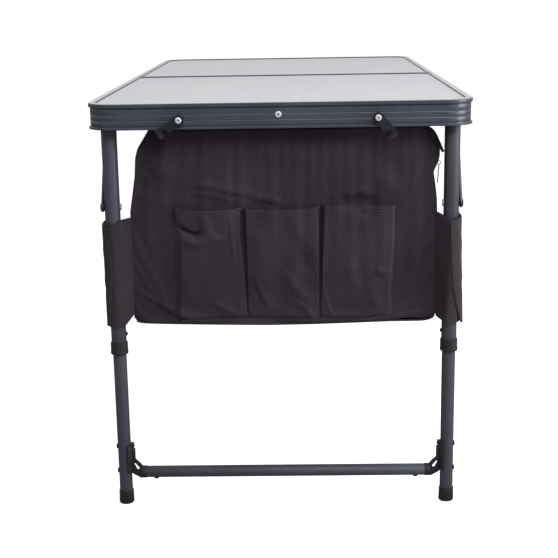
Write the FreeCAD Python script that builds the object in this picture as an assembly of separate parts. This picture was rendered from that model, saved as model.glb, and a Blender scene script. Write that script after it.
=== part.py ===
import FreeCAD, Part
import math
import os

# Folding camp kitchen table: a case-style table top in two halves, telescopic legs that fold into
# each half, and a fabric cupboard that hangs under the near half.
# Frame: +Z up, floor at Z = 0, X across the width, Y along the length. The near end is at -Y.
# Sizes in millimetres.

# Table top
TABLE_WIDTH = 600.0        # between the main faces of the side rails
TABLE_LENGTH = 1200.0      # between the main faces of the end rails
TABLE_HEIGHT = 675.0
RAIL_HEIGHT = 40.5
CORNER_RADIUS = 42.0
LIP = 2.5                  # how far the rail's top and bottom lips stand out
RAIL_WALL = 2.6
RIM_WIDTH = 8.0            # top face of the rail, inboard of its main face
LEDGE_REACH = 16.0         # the ledge that carries the board
FLANGE_REACH = 8.0         # the rail's bottom flange
BOARD_THICKNESS = 6.0
BOARD_RECESS = 2.2         # board surface below the rim
BOARD_GAP = 0.5            # between board and rim
RIM_BEAD = 6.5             # height of the rolled bead along the rail's top
GROOVE_DEPTHS = (18.0, 27.0)   # the two fine grooves, measured down from the top
GROOVE_BITE = 0.5
SEAM_GAP = 1.5
SEAM_TRIM = 4.2
SEAM_RAIL_DEPTH = 14.5
STIFFENER_YS = (-420.0, -230.0)
STIFFENER_HALF = 15.0
STIFFENER_LOW = 660.4
STIFFENER_SKIN = 1.8

# Legs
LEG_X = 270.6
LEG_INSET = 30.0
PIVOT_Z = 647.0
LEG_TOP_Z = 659.0
OUTER_R = 12.4
OUTER_BORE = 11.3
INNER_R = 11.0
INNER_BORE = 9.8
OUTER_BOTTOM_Z = 266.6
COLLAR_TOP_Z = 284.0
COLLAR_R = 14.1
INNER_TOP_Z = 355.0
LEG_SLIDE = 140.0
HOLE_COUNT = 7
BUTTON_Z = 298.1
BUTTON_R = 3.2
BUTTON_PROUD = 2.8
BUTTON_TRAVEL = 4.2
CROSSBAR_Z = 54.7
CROSSBAR_R = 9.8
CROSSBAR_BORE = 8.4
CROSSBAR_HALF = 233.6
BAR_RIVET_X = 218.4
AXLE_R = 8.0
AXLE_BORE = 6.6
PIVOT_R = 3.0
PIVOT_CLEARANCE = 0.08
FOOT_HEIGHT = 22.5
FOOT_TOP_R = 12.2
FOOT_SOLE_R = 12.75
RIVET_ZS = (58.0, 101.5)
RIVET_R = 2.4
RIVET_HEAD_R = 4.4
ELBOW_TOP_Z = 106.0
ELBOW_HALF_WEB = 3.6       # half the thickness of the elbow's flat strut

# Braces
BRACE_PIN_Z = 509.0
BRACE_LEAN = 30.0          # degrees from the leg
BRACE_STUD_Z = 651.0
BRACE_HALF_WIDTH = 8.0
BRACE_X = 284.6
BRACE_THICKNESS = 3.0
BRACE_PIN_HEAD_R = 6.0
STUD_R = 2.5
HOOK_CLEARANCE = 0.6
HOOK_TILT = 12.0           # degrees the hook's mouth opens upwards

# Case hinge
HINGE_Z = TABLE_HEIGHT - RAIL_HEIGHT - 2.2
HINGE_INNER_X = 289.0
HINGE_OUTER_X = 300.0
LEAF_LENGTH = 45.0
KNUCKLE_R = 4.0
HINGE_PIN_R = 1.5

# Latches
LATCH_LINE_X = -2.2        # the latches and the middle screw sit a little left of the middle
LATCH_X = 154.0            # from that line
LATCH_Z = 649.5
LATCH_LENGTH = 40.0
LATCH_HALF_WIDTH = 8.0
LATCH_THICKNESS = 5.0
LEFT_LATCH_ANGLE = 34.0    # degrees below horizontal
RIGHT_LATCH_ANGLE = 49.0
LATCH_STANDOFF = 0.4       # latch plate in front of the rail's lips
SCREW_HEAD_R = 4.9
SCREW_HEAD_HEIGHT = 2.8
SCREW_SHAFT_R = 2.0
END_SCREW_Z = 656.2
KEEPER_DROP = 27.5         # from a latch's pivot to the stud its hook catches
KEEPER_Z = 2 * HINGE_Z - (LATCH_Z - KEEPER_DROP)

# Cupboard
CLOTH = 2.5
BAG_FRONT_Y = -572.5
BAG_BACK_Y = -125.0
BAG_OUTLINE = [            # (x, z) of its end panel: boxy, with the top corners drawn in
    (-228, 313), (-240, 317), (-244, 328), (-244, 490), (-241, 520), (-230, 592), (-207, 631),
    (236, 631), (251, 596), (251, 494), (249, 328), (245, 318), (232, 314.5), (0, 311.5),
]
BAG_TOP_Z = 631.0
WALL_LOW_Z = 328.0         # the side walls start above the floor's rolled edges
ROOF_LEFT_X = -204.0
ROOF_RIGHT_X = 234.0
SHELF_Z = 470.0
POCKET_TOP_Z = 507.2
POCKET_BOTTOM_Z = 324.3
POCKET_DEPTH = 10.0
POCKETS = {                # x of the top left, top right, low left and low right corners
    "pocket_left": (-174.6, -62.3, -168.1, -59.3),
    "pocket_middle": (-57.3, 59.0, -57.3, 59.0),
    "pocket_right": (68.2, 180.9, 61.5, 175.0),
}
WRAP_TOP_Z = 492.4
WRAP_BOTTOM_Z = 316.4
WRAP_FRONT_Y = -586.5
WRAP_BACK_Y = -515.0
WRAP_INNER_X = 251.5
WRAP_OUTER_X = 290.5
STRAP_X = 150.0
STRAP_HALF = 12.5
ZIP_X = 251.1              # the cupboard's right wall, just clear of it
ZIP_TAPE = 0.9
ZIP_HALF_WIDTH = 4.0
ZIP_Y = -535.0
ZIP_LOW_Z = 346.0
ZIP_HIGH_Z = 594.0
ZIP_SLIDER_Z = 586.0
ZIP_PULL = 46.0            # length of the slider's cord

HALF_WIDTH = TABLE_WIDTH / 2
HALF_LENGTH = TABLE_LENGTH / 2
RAIL_BOTTOM = TABLE_HEIGHT - RAIL_HEIGHT
BOARD_TOP = TABLE_HEIGHT - BOARD_RECESS
BOARD_BOTTOM = BOARD_TOP - BOARD_THICKNESS
LEDGE_TOP = BOARD_BOTTOM - 0.1
LEDGE_BOTTOM = LEDGE_TOP - 2.0
LEG_Y = -(HALF_LENGTH - LEG_INSET)
BRACE_STUD_Y = LEG_Y + (BRACE_STUD_Z - BRACE_PIN_Z) * math.tan(math.radians(BRACE_LEAN))
HOLE_PITCH = LEG_SLIDE / (HOLE_COUNT - 1)
LATCH_BACK_Y = -(HALF_LENGTH + LIP + LATCH_STANDOFF)
LATCH_FRONT_Y = LATCH_BACK_Y - LATCH_THICKNESS - 0.05

X = FreeCAD.Vector(1, 0, 0)
Y = FreeCAD.Vector(0, 1, 0)
Z = FreeCAD.Vector(0, 0, 1)


def vec(x, y, z):
    return FreeCAD.Vector(x, y, z)


def box(x0, x1, y0, y1, z0, z1):
    return Part.makeBox(x1 - x0, y1 - y0, z1 - z0, vec(x0, y0, z0))


def rod(radius, start, end):
    """A round bar from one point to another."""
    along = end.sub(start)
    return Part.makeCylinder(radius, along.Length, start, along)


def pipe(outer, bore, start, end):
    return rod(outer, start, end).cut(rod(bore, start, end))


def face_of(points):
    return Part.Face(Part.makePolygon(points + points[:1]))


def slab_yz(points, x0, x1):
    """A flat piece with an outline of (y, z) points, from x0 to x1."""
    return face_of([vec(x0, y, z) for y, z in points]).extrude(X * (x1 - x0))


def slab_xz(points, y0, y1):
    """A flat piece with an outline of (x, z) points, from y0 to y1."""
    return face_of([vec(x, y0, z) for x, z in points]).extrude(Y * (y1 - y0))


def mirrored(shape):
    """The same piece on the other side of the table."""
    return shape.mirror(vec(0, 0, 0), X)


def far_end(shape):
    """The same piece at the other end of the table."""
    turned = shape.copy()
    turned.rotate(vec(0, 0, 0), Z, 180)
    return turned


def pair(shape):
    return Part.makeCompound([shape, mirrored(shape)])


def save(name, shape):
    shape.exportStep(os.path.join("parts", name + ".step"))


def save_both_ends(name, shape):
    save("near_" + name, shape)
    save("far_" + name, far_end(shape))


# ---------------------------------------------------------------- table top

def rail_outline():
    """The extrusion's section: (distance outboard of the main face, height)."""
    top = TABLE_HEIGHT
    low = RAIL_BOTTOM
    lip_round = 1.2
    outline = [
        (-RIM_WIDTH, top),
        (LIP - lip_round, top),
        (LIP - 0.3, top - 0.3),
        (LIP, top - lip_round),
        (LIP, top - RIM_BEAD + 0.9),
        (LIP - 0.9, top - RIM_BEAD),
        (-1.0, top - RIM_BEAD),
        (-1.0, top - RIM_BEAD - 1.3),
        (0.0, top - RIM_BEAD - 1.9),
    ]
    for depth in GROOVE_DEPTHS:
        groove = top - depth
        outline += [(0.0, groove + 0.8), (-GROOVE_BITE, groove), (0.0, groove - 0.8)]
    outline += [
        (0.0, low + 6.5),
        (-0.8, low + 5.9),
        (-0.8, low + 3.6),
        (LIP - 0.6, low + 3.6),
        (LIP, low + 3.0),
        (LIP, low + 0.8),
        (LIP - 0.8, low),
        (-FLANGE_REACH, low),
        (-FLANGE_REACH, low + 2.0),
        (-RAIL_WALL, low + 2.0),
        (-RAIL_WALL, LEDGE_BOTTOM),
        (-LEDGE_REACH, LEDGE_BOTTOM),
        (-LEDGE_REACH, LEDGE_TOP),
        (-RIM_WIDTH, LEDGE_TOP),
    ]
    return outline


def edge_frame():
    """One half's rail: two sides, two round corners and the end, as one bent extrusion."""
    corner_x = HALF_WIDTH - CORNER_RADIUS
    corner_y = -(HALF_LENGTH - CORNER_RADIUS)
    seam_y = -SEAM_GAP / 2
    section = face_of([vec(HALF_WIDTH + u, corner_y, z) for u, z in rail_outline()])
    side = section.extrude(Y * (seam_y - corner_y))
    corner = section.revolve(vec(corner_x, corner_y, 0), Z, -90)
    end_section = face_of([vec(-corner_x, -HALF_LENGTH - u, z) for u, z in rail_outline()])
    end = end_section.extrude(X * (2 * corner_x))
    frame = end.multiFuse([side, corner, mirrored(side), mirrored(corner)]).removeSplitter()
    relief = box(HINGE_INNER_X - 1.5, HALF_WIDTH + 5, seam_y - 5, 1, RAIL_BOTTOM - 1, RAIL_BOTTOM + 3.2)
    stud_hole = rod(STUD_R + 0.02, vec(HALF_WIDTH - 4, BRACE_STUD_Y, BRACE_STUD_Z),
                    vec(HALF_WIDTH - 1, BRACE_STUD_Y, BRACE_STUD_Z))
    return frame.cut(pair(relief)).cut(pair(stud_hole))


def end_face_hole(x, z, radius):
    return rod(radius, vec(x, -HALF_LENGTH - 5, z), vec(x, -HALF_LENGTH + 10, z))


def latch_xs():
    return LATCH_LINE_X - LATCH_X, LATCH_LINE_X + LATCH_X


def near_frame():
    places = [(x, LATCH_Z) for x in latch_xs()] + [(LATCH_LINE_X, END_SCREW_Z)]
    holes = [end_face_hole(x, z, SCREW_SHAFT_R + 0.05) for x, z in places]
    return edge_frame().cut(Part.makeCompound(holes))


def far_frame():
    holes = [end_face_hole(-x, KEEPER_Z, STUD_R + 0.02) for x in latch_xs()]
    return far_end(edge_frame().cut(Part.makeCompound(holes)))


def board():
    reach = RIM_WIDTH + BOARD_GAP
    side = HALF_WIDTH - reach
    outer = -HALF_LENGTH + reach
    inner = -SEAM_GAP / 2 - SEAM_TRIM - BOARD_GAP
    plate = box(-side, side, outer, inner, BOARD_BOTTOM, BOARD_TOP)
    corners = [e for e in plate.Edges
               if abs(e.Vertexes[0].Y - outer) < 0.01 and abs(e.Vertexes[1].Y - outer) < 0.01
               and abs(e.Vertexes[0].Z - e.Vertexes[1].Z) > 1]
    return plate.makeFillet(CORNER_RADIUS - reach, corners)


def seam_rail():
    """A slim L trim along the fold: it caps the board's edge and stays above the folded legs."""
    face = -SEAM_GAP / 2
    low = TABLE_HEIGHT - SEAM_RAIL_DEPTH
    outline = [
        (face, low), (face, TABLE_HEIGHT - 1.0), (face - 1.0, TABLE_HEIGHT),
        (face - SEAM_TRIM, TABLE_HEIGHT), (face - SEAM_TRIM, LEDGE_TOP), (face - 18, LEDGE_TOP),
        (face - 18, LEDGE_BOTTOM), (face - 2.2, LEDGE_BOTTOM), (face - 2.2, low),
    ]
    rail = slab_yz(outline, -(HALF_WIDTH - RIM_WIDTH - 0.2), HALF_WIDTH - RIM_WIDTH - 0.2)
    shoulder = box(HALF_WIDTH - LEDGE_REACH - 0.3, HALF_WIDTH, face - 20, 0, low - 1, LEDGE_TOP + 0.05)
    return rail.cut(pair(shoulder))


def stiffeners():
    """Shallow channels across the underside of the board."""
    reach = HALF_WIDTH - LEDGE_REACH - 0.5
    skin = STIFFENER_SKIN
    channels = []
    for y in STIFFENER_YS:
        outer = box(-reach, reach, y - STIFFENER_HALF, y + STIFFENER_HALF, STIFFENER_LOW, LEDGE_TOP)
        inner = box(-reach - 1, reach + 1, y - STIFFENER_HALF + skin, y + STIFFENER_HALF - skin,
                    STIFFENER_LOW - 1, LEDGE_TOP - skin)
        channels.append(outer.cut(inner))
    return Part.makeCompound(channels)


# ---------------------------------------------------------------- case hinge

def knuckle(x0, x1):
    barrel = rod(KNUCKLE_R, vec(x0, 0, HINGE_Z), vec(x1, 0, HINGE_Z))
    web = box(x0, x1, -KNUCKLE_R - 0.5, 0, HINGE_Z, RAIL_BOTTOM)
    return barrel.fuse(web)


def hinge_leaf(knuckles):
    plate = box(HINGE_INNER_X, HINGE_OUTER_X, -LEAF_LENGTH, -KNUCKLE_R - 0.4, HINGE_Z, RAIL_BOTTOM - 0.02)
    leaf = plate.multiFuse([knuckle(x0, x1) for x0, x1 in knuckles])
    bore = rod(HINGE_PIN_R + 0.05, vec(HINGE_INNER_X - 1, 0, HINGE_Z), vec(HINGE_OUTER_X + 1, 0, HINGE_Z))
    trim = box(HINGE_INNER_X - 1, HINGE_OUTER_X + 1, -KNUCKLE_R - 1, KNUCKLE_R + 1,
               RAIL_BOTTOM + 3.0, RAIL_BOTTOM + 9)
    return leaf.cut(bore).cut(trim)


def hinge():
    third = (HINGE_OUTER_X - HINGE_INNER_X) / 3
    first = (HINGE_INNER_X, HINGE_INNER_X + third - 0.1)
    middle = (HINGE_INNER_X + third + 0.1, HINGE_INNER_X + 2 * third - 0.1)
    last = (HINGE_INNER_X + 2 * third + 0.1, HINGE_OUTER_X)
    save("near_hinge_leaves", pair(hinge_leaf([first, last])))
    save("far_hinge_leaves", far_end(pair(hinge_leaf([middle]))))
    pin = rod(HINGE_PIN_R, vec(HINGE_INNER_X - 0.6, 0, HINGE_Z), vec(HINGE_OUTER_X + 0.6, 0, HINGE_Z))
    save("hinge_pins", pair(pin))


# ---------------------------------------------------------------- latches

def latch_body():
    """Pointing along +X from its pivot at the origin, with the hook opening towards -Z."""
    w = LATCH_HALF_WIDTH
    tip = LATCH_LENGTH
    outline = [
        (0, w), (tip - 1.5, w), (tip, w - 1.5), (tip, -w + 0.5), (tip - 1.5, -w - 1),
        (tip - 6.5, -w - 1), (tip - 8, -w + 0.5), (tip - 8, 1.0), (tip - 16, 1.0),
        (tip - 16, -w + 1.0), (tip - 17, -w), (0, -w),
    ]
    plate = slab_xz(outline, -LATCH_THICKNESS, 0).fuse(rod(w, vec(0, 0, 0), vec(0, -LATCH_THICKNESS, 0)))
    spring_rib = box(12, 30, -LATCH_THICKNESS - 1.2, -LATCH_THICKNESS, w - 2.4, w)
    foot = rod(w, vec(0, 0, 0), vec(0, LIP + LATCH_STANDOFF - 0.05, 0))
    latch = plate.multiFuse([spring_rib, foot]).removeSplitter()
    return latch.cut(rod(SCREW_SHAFT_R + 0.08, vec(0, -20, 0), vec(0, 20, 0)))


def place_latch(latch, x, angle):
    placed = latch.copy()
    placed.rotate(vec(0, 0, 0), Y, angle)
    placed.translate(vec(x, LATCH_BACK_Y, LATCH_Z))
    return placed


def screw(x, z, head_back_y):
    """A pan-head screw along Y with a cross recess; its head rests on head_back_y."""
    top = head_back_y - SCREW_HEAD_HEIGHT
    shaft = rod(SCREW_SHAFT_R, vec(x, head_back_y, z), vec(x, -HALF_LENGTH + 8, z))
    head = rod(SCREW_HEAD_R, vec(x, head_back_y, z), vec(x, top, z))
    rim = [e for e in head.Edges if abs(e.BoundBox.YMax - top) < 0.01]
    head = head.makeFillet(1.3, rim)
    recess = box(x - 2.6, x + 2.6, top - 1, top + 1.5, z - 0.5, z + 0.5)
    recess = recess.fuse(box(x - 0.5, x + 0.5, top - 1, top + 1.5, z - 2.6, z + 2.6))
    return head.fuse(shaft).cut(recess)


def keeper_stud(x):
    """A collared stud on the other half's end that a latch hooks over when the case is shut."""
    tip = LATCH_FRONT_Y - SCREW_HEAD_HEIGHT
    stud = rod(STUD_R, vec(x, tip, KEEPER_Z), vec(x, -HALF_LENGTH + 6, KEEPER_Z))
    collar = rod(4.2, vec(x, -HALF_LENGTH - 2.3, KEEPER_Z), vec(x, -HALF_LENGTH - 0.02, KEEPER_Z))
    return stud.fuse(collar)


def latches():
    left_x, right_x = latch_xs()
    save("latch_right", place_latch(latch_body(), right_x, RIGHT_LATCH_ANGLE))
    save("latch_left", mirrored(place_latch(latch_body(), -left_x, LEFT_LATCH_ANGLE)))
    screws = [screw(x, LATCH_Z, LATCH_FRONT_Y) for x in latch_xs()]
    screws.append(screw(LATCH_LINE_X, END_SCREW_Z, -HALF_LENGTH - 0.02))
    save("end_screws", Part.makeCompound(screws))
    keepers = [keeper_stud(-x) for x in latch_xs()]
    save("keeper_studs", far_end(Part.makeCompound(keepers)))


# ---------------------------------------------------------------- legs

def leg_axis(z):
    return vec(LEG_X, LEG_Y, z)


def cross_hole(radius, z, x0, x1):
    return rod(radius, vec(x0, LEG_Y, z), vec(x1, LEG_Y, z))


def button_holes():
    return [cross_hole(BUTTON_R + 0.25, BUTTON_Z + i * HOLE_PITCH, LEG_X - 20, LEG_X)
            for i in range(HOLE_COUNT)]


def outer_leg():
    leg = pipe(OUTER_R, OUTER_BORE, leg_axis(OUTER_BOTTOM_Z), leg_axis(LEG_TOP_Z))
    cuts = button_holes()
    cuts.append(cross_hole(AXLE_R + 0.05, PIVOT_Z, LEG_X - 20, LEG_X))
    cuts.append(cross_hole(PIVOT_R + PIVOT_CLEARANCE, PIVOT_Z, LEG_X, LEG_X + 20))
    cuts.append(cross_hole(PIVOT_R + 0.03, BRACE_PIN_Z, LEG_X - 20, LEG_X + 20))
    return leg.cut(Part.makeCompound(cuts))


def axle():
    """The tube that joins the two legs, with a plug at each end bored for the pivot pin."""
    end = LEG_X + 7.6
    tube = pipe(AXLE_R, AXLE_BORE, vec(-end, LEG_Y, PIVOT_Z), vec(end, LEG_Y, PIVOT_Z))
    plug = pipe(AXLE_BORE + 0.1, PIVOT_R + PIVOT_CLEARANCE, vec(end - 20, LEG_Y, PIVOT_Z),
                vec(end, LEG_Y, PIVOT_Z))
    return tube.multiFuse([plug, mirrored(plug)]).removeSplitter()


def inside_rail(shape):
    """The part of a shape that lies within the rail's inner wall at the table's corner."""
    corner_x = HALF_WIDTH - CORNER_RADIUS
    corner_y = -(HALF_LENGTH - CORNER_RADIUS)
    reach = CORNER_RADIUS - RAIL_WALL - 0.1
    room = rod(reach, vec(corner_x, corner_y, 0), vec(corner_x, corner_y, TABLE_HEIGHT))
    room = room.fuse(box(0, corner_x + reach, corner_y, 0, 0, TABLE_HEIGHT))
    return shape.common(room)


def pivot_pin():
    pin = rod(PIVOT_R, vec(LEG_X - 10, LEG_Y, PIVOT_Z), vec(HALF_WIDTH - RAIL_WALL - 0.2, LEG_Y, PIVOT_Z))
    washer = rod(6.0, vec(LEG_X + OUTER_R + 0.2, LEG_Y, PIVOT_Z), vec(BRACE_X - 0.1, LEG_Y, PIVOT_Z))
    return inside_rail(pin.fuse(washer))


def leg_bracket():
    """Ear, top flange and spacer boss that carry one leg's pivot inside the side rail."""
    ear_outer = BRACE_X + 2.8
    wall = HALF_WIDTH - RAIL_WALL - 0.1
    top = LEDGE_BOTTOM - 0.1
    ear = box(BRACE_X, ear_outer, LEG_Y - 13, LEG_Y + 13, PIVOT_Z - 10, top)
    flange = box(BRACE_X, wall, LEG_Y - 13, LEG_Y + 33, top - 2.6, top)
    boss = rod(7.0, vec(ear_outer, LEG_Y, PIVOT_Z), vec(wall, LEG_Y, PIVOT_Z))
    bracket = ear.multiFuse([flange, boss]).removeSplitter()
    bore = rod(PIVOT_R + 0.03, vec(BRACE_X - 1, LEG_Y, PIVOT_Z), vec(wall + 1, LEG_Y, PIVOT_Z))
    return inside_rail(bracket.cut(bore))


def leg_collar():
    """Plastic end cap on the outer tube that guides the inner tube."""
    low = OUTER_BOTTOM_Z - 2.2
    top = COLLAR_TOP_Z
    foot_ring = rod(COLLAR_R + 0.4, leg_axis(low), leg_axis(low + 5))
    body = rod(COLLAR_R, leg_axis(low), leg_axis(top)).fuse(foot_ring)
    bore = rod(OUTER_R + 0.04, leg_axis(OUTER_BOTTOM_Z - 0.05), leg_axis(top + 1))
    guide = rod(INNER_R + 0.15, leg_axis(low - 1), leg_axis(top))
    collar = body.cut(bore).cut(guide)
    rims = [e for e in collar.Edges if abs(e.BoundBox.ZMin - low) < 0.01
            and abs(e.BoundBox.ZMax - low) < 0.01 and e.BoundBox.XLength > 28]
    return collar.makeFillet(1.0, rims)


def inner_leg():
    leg = pipe(INNER_R, INNER_BORE, leg_axis(3.0), leg_axis(INNER_TOP_Z))
    cuts = [cross_hole(BUTTON_R + 0.15, BUTTON_Z, LEG_X - 20, LEG_X)]
    cuts += [cross_hole(RIVET_R + 0.03, z, LEG_X - 20, LEG_X + 20) for z in RIVET_ZS]
    return leg.cut(Part.makeCompound(cuts))


def foot():
    """A slightly flared plastic ferrule with a rounded sole."""
    cone = Part.makeCone(FOOT_SOLE_R, FOOT_TOP_R, FOOT_HEIGHT, leg_axis(0), Z)
    sole = [e for e in cone.Edges if e.BoundBox.ZMax < 0.01]
    return cone.makeFillet(2.6, sole).cut(rod(INNER_R + 0.03, leg_axis(2.95), leg_axis(FOOT_HEIGHT + 1)))


def snap_button():
    """A domed pin with a flange that stays inside the inner tube."""
    tip = LEG_X - OUTER_R - BUTTON_PROUD
    dome = Part.makeSphere(BUTTON_R + 0.6, vec(tip + BUTTON_R + 0.6, LEG_Y, BUTTON_Z))
    pin = cross_hole(BUTTON_R, BUTTON_Z, tip, LEG_X - 5)
    nose = pin.common(dome.fuse(cross_hole(BUTTON_R + 1, BUTTON_Z, tip + BUTTON_R, LEG_X)))
    return nose.fuse(cross_hole(4.4, BUTTON_Z, LEG_X - 8.4, LEG_X - 6.8)).removeSplitter()


def elbow():
    """Moulded corner: a saddle on the leg, a thin strut with a slot, and a plug into the crossbar."""
    leg_face = LEG_X - INNER_R - 0.1
    bar_top = CROSSBAR_Z + CROSSBAR_R
    bar_low = CROSSBAR_Z - CROSSBAR_R
    bar_end = CROSSBAR_HALF + 0.1
    tab = [
        (leg_face + 2, ELBOW_TOP_Z), (leg_face - 4.9, ELBOW_TOP_Z), (leg_face - 4.9, ELBOW_TOP_Z - 6),
        (leg_face - 3.5, ELBOW_TOP_Z - 9.5), (leg_face - 6.4, ELBOW_TOP_Z - 11),
        (leg_face - 6.4, CROSSBAR_Z + 20), (leg_face + 2, CROSSBAR_Z + 20),
    ]
    strut = [
        (leg_face + 2, 81), (leg_face - 6, 81), (252.5, 76.5), (246.5, 71), (241, bar_top),
        (bar_end, bar_top), (bar_end, bar_low), (245, bar_low), (250, bar_low + 3),
        (leg_face - 3, bar_low + 6.5), (leg_face + 2, CROSSBAR_Z + 1.5),
    ]
    slot = [(256.0, 69.5), (253.4, 71.5), (246.2, 63.0), (246.2, 59.5), (250.4, 57.5)]
    stub = rod(CROSSBAR_R, vec(bar_end, LEG_Y, CROSSBAR_Z), vec(243, LEG_Y, CROSSBAR_Z))
    plug = rod(CROSSBAR_BORE - 0.08, vec(208, LEG_Y, CROSSBAR_Z), vec(240, LEG_Y, CROSSBAR_Z))
    saddle = rod(14.6, leg_axis(CROSSBAR_Z + 1), leg_axis(ELBOW_TOP_Z - 2))
    saddle = saddle.common(box(LEG_X - 20, LEG_X - 6.5, LEG_Y - 12.3, LEG_Y + 12.3, 0, ELBOW_TOP_Z))
    solids = [stub, plug, saddle, slab_xz(strut, LEG_Y - ELBOW_HALF_WEB, LEG_Y + ELBOW_HALF_WEB)]
    body = slab_xz(tab, LEG_Y - 5.5, LEG_Y + 5.5).multiFuse(solids)
    cuts = [slab_xz(slot, LEG_Y - 15, LEG_Y + 15), rod(INNER_R + 0.04, leg_axis(0), leg_axis(200))]
    cuts += [cross_hole(RIVET_R + 0.03, z, LEG_X - 40, LEG_X) for z in RIVET_ZS]
    cuts.append(rod(RIVET_R + 0.03, vec(BAR_RIVET_X, LEG_Y, 40), vec(BAR_RIVET_X, LEG_Y, CROSSBAR_Z)))
    return body.cut(Part.makeCompound(cuts)).removeSplitter()


def crossbar():
    tube = pipe(CROSSBAR_R, CROSSBAR_BORE, vec(-CROSSBAR_HALF, LEG_Y, CROSSBAR_Z),
                vec(CROSSBAR_HALF, LEG_Y, CROSSBAR_Z))
    hole = rod(RIVET_R + 0.03, vec(BAR_RIVET_X, LEG_Y, 40), vec(BAR_RIVET_X, LEG_Y, CROSSBAR_Z))
    return tube.cut(pair(hole))


def leg_rivets():
    """Two flat-headed rivets through the leg and one up through the crossbar's end."""
    rivets = []
    outside = LEG_X + INNER_R
    for z in RIVET_ZS:
        shaft = cross_hole(RIVET_R, z, LEG_X - INNER_R - 6.0, outside + 1)
        head = cross_hole(RIVET_HEAD_R, z, outside + 0.1, outside + 1.8)
        rim = [e for e in head.Edges if e.BoundBox.XMin > outside + 1.5]
        rivets.append(shaft.fuse(head.makeFillet(0.8, rim)))
    low = CROSSBAR_Z - CROSSBAR_R
    shaft = rod(RIVET_R, vec(BAR_RIVET_X, LEG_Y, low - 0.5), vec(BAR_RIVET_X, LEG_Y, CROSSBAR_Z - 2))
    head = rod(4.0, vec(BAR_RIVET_X, LEG_Y, low - 1.8), vec(BAR_RIVET_X, LEG_Y, low - 0.05))
    rivets.append(shaft.fuse(head))
    return rivets


# ---------------------------------------------------------------- braces

def brace():
    """A flat bar pinned to the leg, with an open hook at its upper end that drops over a stud."""
    lean = math.radians(BRACE_LEAN)
    across = (math.cos(lean) * BRACE_HALF_WIDTH, -math.sin(lean) * BRACE_HALF_WIDTH)
    low = (LEG_Y, BRACE_PIN_Z)
    high = (BRACE_STUD_Y, BRACE_STUD_Z)
    x0, x1 = BRACE_X, BRACE_X + BRACE_THICKNESS
    outline = [
        (low[0] + across[0], low[1] + across[1]), (high[0] + across[0], high[1] + across[1]),
        (high[0] - across[0], high[1] - across[1]), (low[0] - across[0], low[1] - across[1]),
    ]
    bar = slab_yz(outline, x0, x1)
    ends = [rod(BRACE_HALF_WIDTH, vec(x0, y, z), vec(x1, y, z)) for y, z in (low, high)]
    bar = bar.multiFuse(ends).removeSplitter()
    slot_half = STUD_R + HOOK_CLEARANCE
    mouth = box(x0 - 1, x1 + 1, -20, 0, -slot_half, slot_half)
    mouth = mouth.fuse(rod(slot_half, vec(x0 - 1, 0, 0), vec(x1 + 1, 0, 0)))
    mouth.rotate(vec(0, 0, 0), X, -HOOK_TILT)
    mouth.translate(vec(0, high[0], high[1]))
    pin_hole = rod(PIVOT_R + PIVOT_CLEARANCE, vec(x0 - 1, *low), vec(x1 + 1, *low))
    return bar.cut(mouth).cut(pin_hole)


def brace_pin():
    """The cross pin: button head inside, through the leg, spacer, brace, outer head."""
    inside = LEG_X - OUTER_R
    brace_outside = BRACE_X + BRACE_THICKNESS
    shaft = cross_hole(PIVOT_R, BRACE_PIN_Z, inside - 0.5, brace_outside + 1)
    inner_head = cross_hole(BRACE_PIN_HEAD_R - 0.5, BRACE_PIN_Z, inside - 1.9, inside - 0.1)
    spacer = cross_hole(BRACE_PIN_HEAD_R, BRACE_PIN_Z, LEG_X + OUTER_R + 0.1, BRACE_X - 0.1)
    outer_head = cross_hole(BRACE_PIN_HEAD_R, BRACE_PIN_Z, brace_outside + 0.15, brace_outside + 1.6)
    return shaft.multiFuse([inner_head, spacer, outer_head]).removeSplitter()


def brace_stud():
    shaft = rod(STUD_R, vec(BRACE_X - 0.8, BRACE_STUD_Y, BRACE_STUD_Z),
                vec(HALF_WIDTH - 1.1, BRACE_STUD_Y, BRACE_STUD_Z))
    shoulder = rod(5.0, vec(BRACE_X + BRACE_THICKNESS + 0.8, BRACE_STUD_Y, BRACE_STUD_Z),
                   vec(HALF_WIDTH - RAIL_WALL - 0.05, BRACE_STUD_Y, BRACE_STUD_Z))
    return shaft.fuse(shoulder)


def leg_sets():
    save_both_ends("leg_brackets", pair(leg_bracket()))
    save_both_ends("pivot_pins", pair(pivot_pin()))
    save_both_ends("upper_legs", pair(outer_leg()))
    save_both_ends("leg_axle", axle())
    save_both_ends("leg_collars", pair(leg_collar()))
    save_both_ends("lower_legs", pair(inner_leg()))
    save_both_ends("crossbar", crossbar())
    save_both_ends("elbows", pair(elbow()))
    rivets = leg_rivets()
    save_both_ends("leg_rivets", Part.makeCompound(rivets + [mirrored(r) for r in rivets]))
    save_both_ends("feet", pair(foot()))
    save_both_ends("braces", pair(brace()))
    save_both_ends("brace_pins", pair(brace_pin()))
    save_both_ends("brace_studs", pair(brace_stud()))
    button = snap_button()
    save("near_snap_button_right", button)
    save("near_snap_button_left", mirrored(button))
    save("far_snap_button_left", far_end(button))
    save("far_snap_button_right", far_end(mirrored(button)))


# ---------------------------------------------------------------- cupboard

def bag_shell():
    """The cupboard's sleeve: walls, roof and floor, open at both ends."""
    outer = Part.makePolygon([vec(x, BAG_FRONT_Y + CLOTH, z) for x, z in BAG_OUTLINE + BAG_OUTLINE[:1]])
    inner = outer.makeOffset2D(-CLOTH, 2)
    depth = Y * (BAG_BACK_Y - BAG_FRONT_Y - 2 * CLOTH)
    return Part.Face(outer).extrude(depth).cut(Part.Face(inner).extrude(depth))


def bag_zone(x0, x1, z0, z1):
    return box(x0, x1, BAG_FRONT_Y, BAG_BACK_Y, z0, z1)


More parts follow.
